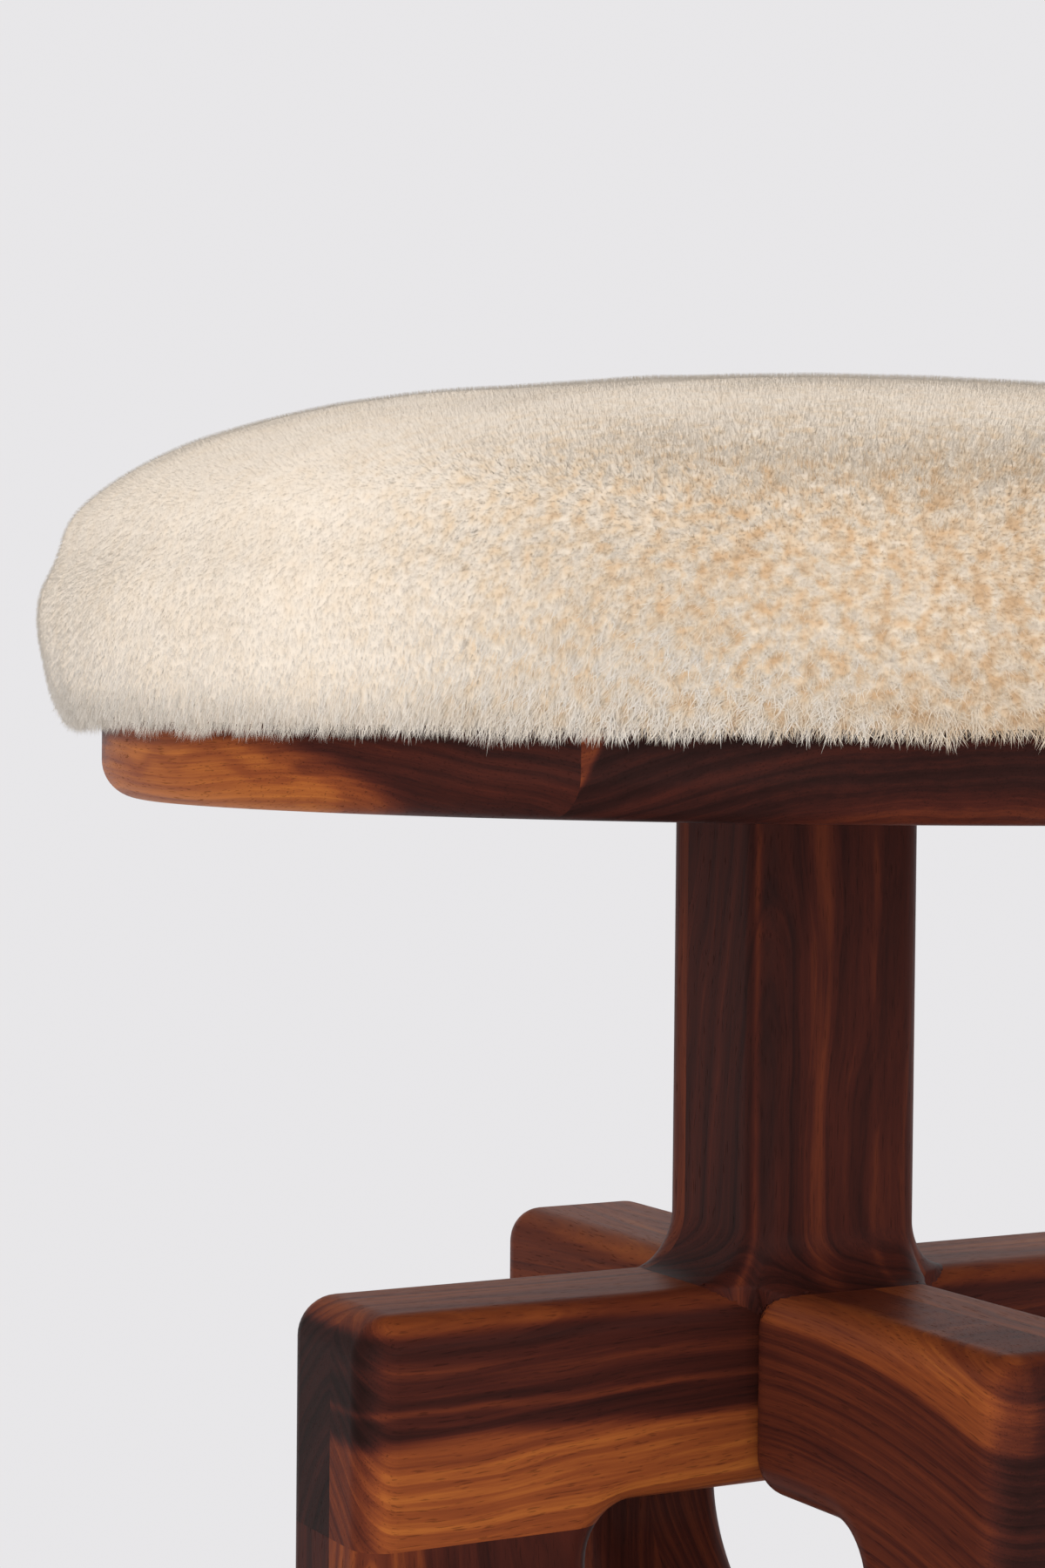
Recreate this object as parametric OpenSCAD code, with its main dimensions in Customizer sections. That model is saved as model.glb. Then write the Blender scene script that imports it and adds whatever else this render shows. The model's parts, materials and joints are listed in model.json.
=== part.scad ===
// Tall stool: a round sheepskin cushion on a glued-up seat board, a square post, and a cross of
// arms that stands on four legs with a lower cross of rails.
// The long beam runs along X, the two short arms along Y. The feet stand on Z = 0.

/* [Seat board] */
// Diameter of the seat board
seat_d = 356; // [300:2:420]
// Thickness of the seat board
seat_t = 24; // [20:0.5:32]
// Radius of the rounded lower edge of the seat board
seat_round = 9.5; // [5:0.5:12]
// Small rounding of the upper edge of the seat board
seat_top_round = 2; // [1:0.5:4]
// Width of the two outer boards of the seat
outer_board_w = 46; // [36:1:56]

/* [Cushion] */
// Height of the cushion above the seat board, pile included
cushion_h = 79.5; // [70:0.5:100]
// How far the pile stands past the rim of the seat board
cushion_overhang = 15; // [10:0.5:22]
// Height of the widest ring of the cushion above the seat board
cushion_belly_h = 15; // [12:0.5:24]
// Length of the sheared pile with its hide
pile_t = 15; // [8:0.5:18]
// How far the pile hangs down over the rim of the seat board
pile_drop = 7; // [3:0.5:9]
// How far the lower edge of the pile stands past the rim
skirt_out = 6.5; // [3:0.5:9]
// Thickness of the hide turned under the base
hide_t = 2; // [1.5:0.1:3]
// Width of the hide turned under the base
hide_turn = 26; // [18:1:34]
// Thickness of the plywood base
base_t = 9; // [9:0.5:12]
// Diameter of the plywood base
base_d = 340; // [280:2:346]

/* [Post] */
// Width of the square post
post_w = 50; // [46:0.5:58]
// Radius of the post's corners
post_corner = 9.5; // [4:0.5:12]
// Visible length of the post
post_h = 120.5; // [90:0.5:200]
// Radius of the coves at the post's foot
foot_cove = 12.5; // [6:0.5:16]
// Distance from the post's axis to its glue line
post_glue_y = 12; // [10:0.5:14]

/* [Cross] */
// Height of the arms
arm_h = 51; // [46:0.5:60]
// Width of the beam and of the long rail and the legs under it
arm_w = 45; // [42:0.5:50]
// Distance from the middle to the left face of the front arm, rail and leg
front_left_w = 28; // [20:0.5:30]
// Distance from the middle to the left face of the back arm, rail and leg
back_left_w = 20; // [19:0.5:28]
// Distance from the middle to the right face of the back arm, rail and leg
back_right_w = 25; // [20:0.5:28]
// Reach of the long beam from the post's axis to its ends
beam_reach = 133; // [120:1:160]
// Reach of the front arm from the post's axis
front_reach = 127; // [118:1:150]
// Reach of the back arm from the post's axis
back_reach = 122; // [118:1:150]
// Rounding of the long edges
ease = 8.5; // [4:0.5:9.5]
// Radius of the corners in side view
corner_r = 10; // [10:0.5:12]
// Distance from the middle of the beam to its glue line, towards the front
beam_glue = 3; // [1:0.5:4]

/* [Legs] */
// Height of the upper face of the arms above the floor
cross_top_z = 450; // [400:5:560]
// Distance from the post's axis to the inner face of the legs
leg_inner = 70; // [62:1:76]
// Radius of the fillet between an arm and its leg
leg_fillet = 13; // [8:0.5:16]
// Distance of the joint line under the underside of the arms
leg_joint_drop = 4; // [2:0.5:7]
// Width of a foot in side view
foot_w = 42; // [38:1:50]

/* [Lower rails] */
// Distance of the start of the bowl under the underside of the arms
bowl_drop = 21; // [16:0.5:30]
// Depth of the bowl between the legs
bowl_depth = 47; // [40:0.5:56]
// Height of the rails in the middle
rail_h = 44; // [38:0.5:60]
// Rise of the arch under the rails
arch_rise = 47; // [36:0.5:56]
// How far the legs swell inwards to meet the rails
leg_swell = 12; // [9:0.5:14]

/* [Joinery] */
// Diameter of the dowels
dowel_d = 10; // [8:0.5:10]
// Length of the dowels in the legs and rails
dowel_l = 50; // [44:1:56]
// Depth of the dowels in the beam and in the long rail
cross_dowel_depth = 17; // [14:0.5:18]
// Length of the dowels across the beam and the long rail
cross_dowel_l = 44; // [40:1:50]
// Distance of those dowels from the middle of the arm
cross_dowel_x = 8; // [7.5:0.25:8]
// Distance between the upper and the lower dowels of a rail joint
rail_dowel_spread = 30; // [26:1:32]
// Width of the square tenon under the post
tenon_w = 24; // [18:0.5:26]
// Length of the tenon
tenon_l = 24; // [18:0.5:25]
// Gap of the glued joints
glue_gap = 0.1; // [0.05:0.05:0.2]

/* [Hardware] */
// Width of the seat plate
plate_w = 76; // [70:1:80]
// Length of the seat plate
plate_l = 150; // [130:1:170]
// Thickness of the seat plate
plate_t = 4; // [3:0.5:6]
// Radius of the corners of the seat plate
plate_corner = 8; // [4:0.5:10]
// Diameter of the countersunk screws
screw_d = 5; // [4:0.1:5.2]
// Diameter of the heads of the countersunk screws
screw_head_d = 9.5; // [8.5:0.1:10]
// Height of the heads of the countersunk screws
screw_head_h = 2.8; // [2.5:0.1:3]
// Length of the screws into the seat board
seat_screw_l = 18; // [14:1:20]
// Length of the screws into the post
post_screw_l = 50; // [40:1:60]
// Distance of the screws in the post from its axis
post_screw_offset = 14; // [12:0.5:15]
// Distance of the seat screws from the middle along the plate
seat_screw_y = 62; // [50:1:62]
// Distance of the seat screws from the middle across the plate
seat_screw_x = 26; // [20:1:28]
// Diameter of the machine screws that hold the cushion
cushion_screw_d = 6; // [5:0.5:6]
// Diameter of their heads
cushion_screw_head_d = 12; // [10:0.5:13]
// Height of their heads
cushion_screw_head_h = 3.6; // [3:0.1:4.5]
// Depth of the recesses for their heads in the seat board
cushion_screw_recess = 6; // [5:0.5:8]
// Distance of the machine screws from the edge of the base
cushion_screw_inset = 51; // [44:1:60]
// Angle of the machine screws from the direction of the beam
cushion_screw_turn = 42; // [34:1:56]
// Diameter of the flange of a T-nut
tee_flange_d = 19; // [16:0.5:22]
// Thickness of the flange of a T-nut
tee_flange_t = 1.5; // [1.2:0.1:2]
// Diameter of the barrel of a T-nut
tee_barrel_d = 8; // [8:0.1:8.6]
// Length of the crown of a staple
staple_l = 10; // [8:0.5:12]
// Length of the legs of a staple
staple_leg = 8; // [6:0.5:8]
// Thickness of the staple wire
staple_wire = 1.2; // [0.8:0.1:1.4]
// Number of staples round the base
staple_count = 24; // [16:1:32]
// Diameter of the glides under the feet
glide_d = 24; // [18:1:30]
// Thickness of the glides
glide_t = 3; // [2:0.5:5]

/* [Hidden] */

$fn = 96;
// How far cutting shapes run past the faces they cut
over = 1;
// How far the outlines run past a joint before the joint cuts them
past_joint = 18;
// How far the fillet under an arm runs past the joint with the leg
joint_dip = 1;
// Gap between soft pieces and what they lie on
soft_gap = 0.3;
// Gap between a screw and its clearance hole, on the radius
screw_gap = 0.1;
// Steps round an eased edge, round a corner and along a long curve
ease_steps = 4;
corner_steps = 5;
curve_steps = 9;
// Steps along the crown of the cushion
crown_steps = 18;
// Exponents of the cushion's outline above and under its widest ring
crown_share = 2.8;
belly_share = 3;

// Levels, from the floor up
arm_under_z = cross_top_z - arm_h;
leg_joint_z = arm_under_z - leg_joint_drop;
bowl_z = arm_under_z - bowl_drop;
rail_top_z = bowl_z - bowl_depth;
rail_under_z = rail_top_z - rail_h;
arch_z = rail_under_z - arch_rise;
seat_z = cross_top_z + post_h;
seat_top_z = seat_z + seat_t;
base_z = seat_top_z + hide_t;
foam_z = base_z + base_t;
crown_z = seat_top_z + cushion_h;
belly_z = seat_top_z + cushion_belly_h;
skirt_z = seat_top_z - pile_drop;

// Half sizes and reaches
seat_r = seat_d / 2;
base_r = base_d / 2;
belly_r = seat_r + cushion_overhang;
post_half = post_w / 2;
arm_half = arm_w / 2;
rail_joint = leg_inner - leg_swell;
plate_z = seat_z + plate_t;
cushion_screw_x = (base_r - cushion_screw_inset) * cos(cushion_screw_turn);
cushion_screw_y = (base_r - cushion_screw_inset) * sin(cushion_screw_turn);
cushion_screw_z = seat_z + cushion_screw_recess;
// The seat is two outer boards and three inner ones of one width
outer_joint = seat_r - outer_board_w;
inner_joint = outer_joint / 3;
cross_dowel_z = arm_under_z + corner_r + dowel_d / 2 + over;
rail_middle_z = (rail_top_z + rail_under_z) / 2;

walnut_dark = "#4a2c1e";
walnut_mid = "#5e3823";
walnut_red = "#6b3d26";
walnut_gold = "#9a5f31";
steel = "#9a9ca0";
zinc = "#b9b6a8";
beech = "#d2b48c";

// Reach, glue line and faces of the arm, leg and rail on a side, in the frame of that side: the faces
// are the distances from the middle to the one at -Y and to the one at +Y
function side_reach(side) = side == "front" ? front_reach : side == "back" ? back_reach : beam_reach;
function side_glue(side) = side == "left" ? beam_glue : side == "right" ? -beam_glue : 0;
function side_faces(side) =
  side == "front" ? [front_left_w, arm_half] :
  side == "back" ? [back_right_w, back_left_w] : [arm_half, arm_half];

// Points of an arc round c, from angle a0 to angle a1
function arc(c, r, a0, a1, steps = corner_steps) =
  [for (i = [0:steps]) let (a = a0 + (a1 - a0) * i / steps) c + r * [cos(a), sin(a)]];

// Points of the bowl (up = -1) or the arch (up = 1) between the legs, from turn t0 to turn t1.
// The points are moved into the wood by inset.
function rail_curve(centre_z, depth, up, t0, t1, inset, steps = curve_steps) =
  [for (i = [0:steps])
    let (t = t0 + (t1 - t0) * i / steps,
         n = [cos(t) / leg_inner, up * sin(t) / depth])
    [leg_inner * cos(t), centre_z + up * depth * sin(t)] + inset * n / norm(n)];

// Turn of the rail curves at which they reach a distance x from the axis
function rail_turn(x) = acos(x / leg_inner);

// Slope of a rail curve at a turn, as an angle
function rail_slope(turn, depth) = atan(depth * cos(turn) / (leg_inner * sin(turn)));

// A side view is a ladder: a list of rungs, each from a lower or inner point to an upper or outer
// one. Neighbouring rungs bound a strip of the side view. Each ladder is a function of the inset
// by which it is drawn into the wood.

// Rungs from each point of a chain up or down to the level z
function rungs_to_level(chain, z) = [for (p = chain) [p, [p.x, z]]];
function rungs_from_level(chain, z) = [for (p = chain) [[p.x, z], p]];

// Rungs between two chains of as many points
function rungs_between(low, high) = [for (i = [0:len(low) - 1]) [low[i], high[i]]];

// The outer half of an arm: the fillet, the part over the leg and the rounded end
function arm_end(reach, inset) =
  let (low = leg_joint_z - past_joint,
       centre = [leg_inner - leg_fillet, arm_under_z - leg_fillet],
       turn = asin((leg_fillet - leg_joint_drop - joint_dip) / (leg_fillet + inset)),
       fillet = arc(centre, leg_fillet + inset, 90, turn),
       level = cross_top_z - inset,
       past = fillet[len(fillet) - 1].x + joint_dip)
  concat(
    rungs_to_level(fillet, level),
    [[[past, low], [past, level]]],
    rungs_from_level(arc([reach - corner_r, cross_top_z - corner_r], corner_r - inset, 90, 0), low));

// Side view of the long beam
function beam_outline(reach) = function (inset)
  let (end = arm_end(reach, inset), n = len(end))
  concat([for (i = [n - 1:-1:0]) [for (p = end[i]) [-p.x, p.y]]], end);

// Side view of a short arm, whose inner end is rounded where it butts on the beam
function arm_outline(reach) = function (inset)
  let (inner = arm_half + corner_r)
  concat(
    rungs_between(
      arc([inner, arm_under_z + corner_r], corner_r - inset, 180, 270),
      arc([inner, cross_top_z - corner_r], corner_r - inset, 180, 90)),
    arm_end(reach, inset));

// Side view of a leg, run past its joints with the arm, the rail and the floor
function leg_outline(reach) = function (inset)
  let (turn = rail_turn(rail_joint - past_joint),
       centre = [leg_inner - leg_fillet, arm_under_z - leg_fillet],
       foot_in = reach - foot_w,
       lean = (foot_in - leg_inner) / (arch_z - glide_t),
       inner = concat(
         [[foot_in + lean * (glide_t + past_joint) + inset, -past_joint]],
         rail_curve(arch_z, arch_rise, 1, 0, turn, inset),
         rail_curve(bowl_z, bowl_depth, -1, turn, 0, inset),
         arc(centre, leg_fillet + inset, 0, 90),
         [[centre.x, leg_joint_z + past_joint]]))
  [for (p = inner) [p, [reach - inset, p.y]]];

// Side view of the long rail, run past its joints with the legs
function long_rail_outline() = function (inset)
  let (turn = rail_turn(rail_joint + leg_swell / 2))
  rungs_between(
    rail_curve(arch_z, arch_rise, 1, 180 - turn, turn, inset, 2 * curve_steps),
    rail_curve(bowl_z, bowl_depth, -1, 180 - turn, turn, inset, 2 * curve_steps));

// Side view of a short rail, whose inner end is rounded where it butts on the long rail
function short_rail_outline() = function (inset)
  let (turn = rail_turn(rail_joint + leg_swell / 2),
       inner = arm_half + corner_r,
       inner_turn = rail_turn(inner),
       high = bowl_z - bowl_depth * sin(inner_turn) - corner_r,
       low = arch_z + arch_rise * sin(inner_turn) + corner_r)
  rungs_between(
    concat(arc([inner, low], corner_r - inset, 180, 270 + rail_slope(inner_turn, arch_rise)),
      rail_curve(arch_z, arch_rise, 1, inner_turn, turn, inset)),
    concat(arc([inner, high], corner_r - inset, 180, 90 - rail_slope(inner_turn, bowl_depth)),
      rail_curve(bowl_z, bowl_depth, -1, inner_turn, turn, inset)));

// A board seen from the side: flat on its glue face at t0, eased along its outer face at t1.
// The side view lies in X and Z, and the thickness along Y. t1 may lie on either side of t0.
module eased_board(outline, t0, t1) {
  way = sign(t1 - t0);
  rings = concat(
    [[t0, 0]],
    [for (k = [0:ease_steps])
      let (a = 90 * k / ease_steps)
      [t1 - way * ease * (1 - sin(a)), ease * (1 - cos(a))]]);
  ladders = [for (ring = rings) outline(ring[1])];
  rungs = len(ladders[0]);
  n = 2 * rungs;
  last = len(rings) - 1;
  loops = [for (ladder = ladders)
    concat([for (rung = ladder) rung[0]], [for (i = [rungs - 1:-1:0]) ladder[i][1]])];
  points = [for (k = [0:last]) for (p = loops[k]) [p.x, rings[k][0], p.y]];
  sides = [for (k = [0:last - 1]) for (i = [0:n - 1])
    let (j = (i + 1) % n)
    each [[k * n + i, k * n + j, (k + 1) * n + j], [k * n + i, (k + 1) * n + j, (k + 1) * n + i]]];
  strip = [for (i = [0:rungs - 2]) each [[i, i + 1, n - 2 - i], [i, n - 2 - i, n - 1 - i]]];
  caps = [for (f = strip) each [[f[2], f[1], f[0]], [for (v = f) last * n + v]]];
  faces = concat(sides, caps);
  // The loops may turn either way round, so the faces follow the sign of their area
  area = [for (i = [0:n - 1]) let (p = loops[0][i], q = loops[0][(i + 1) % n]) p.x * q.y - q.x * p.y];
  turned = way * sum(area) > 0;
  polyhedron(points, turned ? faces : [for (f = faces) [f[2], f[1], f[0]]]);
}

// Sum of a list of numbers
function sum(v, i = 0) = i < len(v) ? v[i] + sum(v, i + 1) : 0;

// Everything between two levels, two X and two Y
module region(x0, x1, y0, y1, z0, z1) {
  translate([x0, y0, z0]) cube([x1 - x0, y1 - y0, z1 - z0]);
}

// Turns a side view along X so that it reaches to the left, right, front or back
module towards(side) {
  angle = side == "right" ? 0 : side == "back" ? 90 : side == "left" ? 180 : 270;
  rotate([0, 0, angle]) children();
}

// Round corners on a rectangle, in plan
module round_rect(w, l, r) {
  square([w - 2 * r, l], center = true);
  square([w, l - 2 * r], center = true);
  for (x = [-1, 1], y = [-1, 1]) {
    translate([x * (w / 2 - r), y * (l / 2 - r)]) circle(r);
  }
}

// Places of the dowels

// Offsets across a leg of the dowels in its two boards
function leg_dowel_offsets(side) =
  let (glue = side_glue(side), faces = side_faces(side))
  [(glue + faces[1] - ease / 2) / 2, (glue - faces[0] + ease / 2) / 2];

module leg_dowel_set(grow = 0) {
  for (side = ["left", "right", "front", "back"]) {
    towards(side) {
      for (y = leg_dowel_offsets(side)) {
        translate([(leg_inner + side_reach(side)) / 2, y, leg_joint_z - (dowel_l + 2 * grow) / 2]) {
          cylinder(d = dowel_d + 2 * grow, h = dowel_l + 2 * grow, $fn = 24);
        }
      }
    }
  }
}

// Dowels from a short arm or rail into the long one, at height z
module cross_dowel_set(z, grow = 0) {
  for (side = ["front", "back"]) {
    towards(side) {
      for (y = [-cross_dowel_x, cross_dowel_x]) {
        translate([arm_half - cross_dowel_depth - grow, y, z]) {
          rotate([0, 90, 0]) cylinder(d = dowel_d + 2 * grow, h = cross_dowel_l + 2 * grow, $fn = 24);
        }
      }
    }
  }
}

// Dowels from the legs into the rails
module rail_dowel_set(grow = 0) {
  for (side = ["left", "right", "front", "back"]) {
    towards(side) {
      for (y = leg_dowel_offsets(side), z = [-1, 1]) {
        translate([rail_joint - (dowel_l + 2 * grow) / 2, y, rail_middle_z + z * rail_dowel_spread / 2]) {
          rotate([0, 90, 0]) cylinder(d = dowel_d + 2 * grow, h = dowel_l + 2 * grow, $fn = 24);
        }
      }
    }
  }
}

// Wooden frame

// The cavity in the beam for the post's tenon
module post_mortise() {
  w = tenon_w + 2 * glue_gap;
  region(-w / 2, w / 2, -w / 2, w / 2, cross_top_z - tenon_l - glue_gap, cross_top_z + over);
}

module beam_board(outer) {
  difference() {
    intersection() {
      eased_board(beam_outline(beam_reach), -beam_glue, outer);
      region(-beam_reach - over, beam_reach + over, -arm_w, arm_w, leg_joint_z, cross_top_z + over);
    }
    post_mortise();
    leg_dowel_set(glue_gap);
    cross_dowel_set(cross_dowel_z, glue_gap);
  }
}

module arm_board(side, outer) {
  difference() {
    towards(side) {
      intersection() {
        eased_board(arm_outline(side_reach(side)), side_glue(side), outer);
        region(0, side_reach(side) + over, -arm_w, arm_w, leg_joint_z, cross_top_z + over);
      }
    }
    leg_dowel_set(glue_gap);
    cross_dowel_set(cross_dowel_z, glue_gap);
  }
}

module leg_board(side, outer) {
  difference() {
    towards(side) {
      intersection() {
        eased_board(leg_outline(side_reach(side)), side_glue(side), outer);
        region(rail_joint, side_reach(side) + over, -arm_w, arm_w, glide_t, leg_joint_z);
      }
    }
    leg_dowel_set(glue_gap);
    rail_dowel_set(glue_gap);
  }
}

module long_rail_board(outer) {
  difference() {
    intersection() {
      eased_board(long_rail_outline(), -beam_glue, outer);
      region(-rail_joint, rail_joint, -arm_w, arm_w, arch_z, bowl_z);
    }
    rail_dowel_set(glue_gap);
    cross_dowel_set(rail_middle_z, glue_gap);
  }
}

module short_rail_board(side, outer) {
  difference() {
    towards(side) {
      intersection() {
        eased_board(short_rail_outline(), side_glue(side), outer);
        region(0, rail_joint, -arm_w, arm_w, arch_z, bowl_z);
      }
    }
    rail_dowel_set(glue_gap);
    cross_dowel_set(rail_middle_z, glue_gap);
  }
}

// The post with its tenon and the coves at its foot
module post_solid() {
  flat = post_half - post_corner;
  translate([0, 0, cross_top_z]) {
    linear_extrude(post_h) round_rect(post_w, post_w, post_corner);
    translate([-tenon_w / 2, -tenon_w / 2, -tenon_l]) cube([tenon_w, tenon_w, tenon_l + foot_cove]);
  }
  for (side = ["left", "right", "front", "back"]) {
    // Each cove stays on the flat of the post and of the arm under it
    cove = [for (face = side_faces(side)) min(face - ease, flat)];
    towards(side) {
      translate([post_half, 0, cross_top_z]) {
        difference() {
          translate([-post_corner, -cove[0], 0]) cube([post_corner + foot_cove, sum(cove), foot_cove]);
          translate([foot_cove, 0, foot_cove]) {
            rotate([90, 0, 0]) cylinder(r = foot_cove, h = post_w, center = true);
          }
        }
      }
    }
  }
}

module post_board(y0, y1) {
  difference() {
    intersection() {
      post_solid();
      region(-arm_w, arm_w, y0, y1, cross_top_z - tenon_l - over, seat_z + over);
    }
    for (x = [-1, 1], y = [-1, 1]) {
      translate([x * post_screw_offset, y * post_screw_offset, plate_z - post_screw_l - screw_gap]) {
        cylinder(r = screw_d / 2 + screw_gap, h = post_screw_l + over);
      }
    }
  }
}

// Seat board

// A countersunk screw whose head lies flush at the origin and which points down
module flat_screw(length, grow = 0) {
  r = screw_d / 2 + grow;
  head_r = screw_head_d / 2 + grow;
  translate([0, 0, -length - grow]) cylinder(r = r, h = length + grow);
  translate([0, 0, -screw_head_h]) cylinder(r1 = r, r2 = head_r, h = screw_head_h);
}

module seat_screw_set(grow = 0) {
  for (x = [-1, 1], y = [-1, 1]) {
    translate([x * seat_screw_x, y * seat_screw_y, seat_z]) {
      mirror([0, 0, 1]) flat_screw(seat_screw_l, grow);
    }
  }
}

module post_screw_set(grow = 0) {
  for (x = [-1, 1], y = [-1, 1]) {
    translate([x * post_screw_offset, y * post_screw_offset, plate_z]) flat_screw(post_screw_l, grow);
  }
}

// Clearance holes and head recesses of the machine screws through the seat board
module cushion_screw_holes() {
  for (x = [-1, 1], y = [-1, 1]) {
    translate([x * cushion_screw_x, y * cushion_screw_y, seat_z - over]) {
      cylinder(r = cushion_screw_d / 2 + screw_gap, h = seat_t + 2 * over);
      cylinder(r = cushion_screw_head_d / 2 + over, h = cushion_screw_recess + over);
    }
  }
}

module seat_disc() {
  r = seat_r;
  rotate_extrude() {
    difference() {
      translate([0, seat_z]) square([r, seat_t]);
      translate([r - seat_round, seat_z]) {
        difference() {
          translate([0, -over]) square([seat_round + over, seat_round + over]);
          translate([0, seat_round]) circle(seat_round);
        }
      }
      translate([r - seat_top_round, seat_top_z - seat_top_round]) {
        difference() {
          square([seat_top_round + over, seat_top_round + over]);
          circle(seat_top_round);
        }
      }
    }
  }
}

// One of the five boards of the seat, from x0 to x1
module seat_strip(x0, x1) {
  difference() {
    intersection() {
      seat_disc();
      region(x0, x1, -seat_r - over, seat_r + over, seat_z - over, seat_top_z + over);
    }
    translate([0, 0, seat_z - over]) {
      linear_extrude(plate_t + over) {
        round_rect(plate_w + 2 * glue_gap, plate_l + 2 * glue_gap, plate_corner + glue_gap);
      }
    }
    seat_screw_set(screw_gap);
    cushion_screw_holes();
  }
}

// Cushion

// Outline of the crown from the axis to the widest ring, drawn in by inset
function crown_points(inset) = [for (i = [0:crown_steps])
  let (a = 90 * i / crown_steps)
  [(belly_r - inset) * pow(sin(a), 2 / crown_share),
   belly_z + (crown_z - belly_z - inset) * pow(cos(a), 2 / crown_share)]];

// Outline from the widest ring down to the lower edge of the pile
function belly_points() = [for (i = [1:corner_steps])
  let (fall = i / corner_steps)
  [belly_r - (cushion_overhang - skirt_out) * pow(fall, belly_share), belly_z - (belly_z - skirt_z) * fall]];

// The foam rounds in at its foot to the edge of the base
module foam_solid(grow = 0) {
  rotate_extrude() {
    polygon(concat(
      crown_points(pile_t + soft_gap - grow),
      [for (i = [1:corner_steps])
        let (a = 90 * i / corner_steps, r = belly_r - pile_t - soft_gap)
        [r + grow - (r - base_r) * (1 - cos(a)), belly_z - (belly_z - foam_z) * sin(a)]],
      [[0, foam_z]]));
  }
}

module base_disc(grow = 0) {
  translate([0, 0, base_z - grow]) cylinder(r = base_r + grow, h = base_t + 2 * grow);
}

// Places round the turned hide, for the staples
module round_the_base() {
  for (i = [0:staple_count - 1]) {
    rotate([0, 0, 360 * (i + 0.5) / staple_count]) {
      translate([base_r - hide_turn / 2, 0, base_z]) children();
    }
  }
}

module staple(grow = 0) {
  w = staple_wire + 2 * grow;
  translate([-w / 2, -staple_l / 2 - grow, -staple_wire - grow]) {
    cube([w, staple_l + 2 * grow, w]);
    for (y = [0, staple_l - staple_wire]) {
      translate([0, y, 0]) cube([w, w, staple_leg + 2 * grow]);
    }
  }
}

module sheepskin_cover() color("#e8d9c0") {
  difference() {
    rotate_extrude() {
      polygon(concat(
        crown_points(0),
        belly_points(),
        [[seat_r + soft_gap, skirt_z],
         [seat_r + soft_gap, seat_top_z],
         [base_r - hide_turn, seat_top_z],
         [base_r - hide_turn, base_z + over],
         [0, base_z + over]]));
    }
    foam_solid(soft_gap);
    base_disc(glue_gap);
    round_the_base() staple(glue_gap);
  }
}

module foam_pad() color("#efe6c4") {
  foam_solid();
}

module cushion_base() color(beech) {
  difference() {
    base_disc();
    for (x = [-1, 1], y = [-1, 1]) {
      translate([x * cushion_screw_x, y * cushion_screw_y, base_z]) {
        translate([0, 0, -over]) cylinder(r = tee_barrel_d / 2 + screw_gap, h = base_t + 2 * over);
        translate([0, 0, base_t - tee_flange_t]) {
          cylinder(r = tee_flange_d / 2 + screw_gap, h = tee_flange_t + over);
        }
      }
    }
    round_the_base() staple(glue_gap);
  }
}

module cover_staples() color(steel) {
  round_the_base() staple();
}

module tee_nuts() color(zinc) {
  for (x = [-1, 1], y = [-1, 1]) {
    translate([x * cushion_screw_x, y * cushion_screw_y, base_z]) {
      difference() {
        union() {
          cylinder(d = tee_barrel_d, h = base_t);
          translate([0, 0, base_t - tee_flange_t]) cylinder(d = tee_flange_d, h = tee_flange_t);
        }
        translate([0, 0, -over]) cylinder(r = cushion_screw_d / 2 + screw_gap, h = base_t + 2 * over);
      }
    }
  }
}

module cushion_screws() color(zinc) {
  for (x = [-1, 1], y = [-1, 1]) {
    translate([x * cushion_screw_x, y * cushion_screw_y, cushion_screw_z]) {
      cylinder(d = cushion_screw_d, h = foam_z - cushion_screw_z);
      translate([0, 0, -cushion_screw_head_h]) cylinder(d = cushion_screw_head_d, h = cushion_screw_head_h);
    }
  }
}

module seat_board_1() color(walnut_gold) {
  seat_strip(-seat_r - over, -outer_joint);
}

module seat_board_2() color(walnut_mid) {
  seat_strip(-outer_joint, -inner_joint);
}

module seat_board_3() color(walnut_dark) {
  seat_strip(-inner_joint, inner_joint);
}

module seat_board_4() color(walnut_red) {
  seat_strip(inner_joint, outer_joint);
}

module seat_board_5() color(walnut_mid) {
  seat_strip(outer_joint, seat_r + over);
}

module seat_plate() color(steel) {
  difference() {
    translate([0, 0, seat_z]) linear_extrude(plate_t) round_rect(plate_w, plate_l, plate_corner);
    seat_screw_set(screw_gap);
    post_screw_set(screw_gap);
  }
}

module plate_screws() color(zinc) {
  seat_screw_set();
}

module post_screws() color(zinc) {
  post_screw_set();
}

module post_front_board() color(walnut_dark) {
  post_board(-arm_w, post_glue_y);
}

module post_back_board() color(walnut_gold) {
  post_board(post_glue_y, arm_w);
}

module beam_front_board() color(walnut_mid) {
  beam_board(-arm_half);
}

module beam_back_board() color(walnut_dark) {
  beam_board(arm_half);
}

module front_arm_left_board() color(walnut_gold) {
  arm_board("front", -front_left_w);
}

module front_arm_right_board() color(walnut_mid) {
  arm_board("front", arm_half);
}

module back_arm_left_board() color(walnut_red) {
  arm_board("back", back_left_w);
}

module back_arm_right_board() color(walnut_mid) {
  arm_board("back", -back_right_w);
}

module left_leg_front_board() color(walnut_mid) {
  leg_board("left", arm_half);
}

module left_leg_back_board() color(walnut_dark) {
  leg_board("left", -arm_half);
}

module right_leg_front_board() color(walnut_mid) {
  leg_board("right", -arm_half);
}

module right_leg_back_board() color(walnut_dark) {
  leg_board("right", arm_half);
}

module front_leg_left_board() color(walnut_red) {
  leg_board("front", -front_left_w);
}

module front_leg_right_board() color(walnut_mid) {
  leg_board("front", arm_half);
}

module back_leg_left_board() color(walnut_red) {
  leg_board("back", back_left_w);
}

module back_leg_right_board() color(walnut_mid) {
  leg_board("back", -back_right_w);
}

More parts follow.
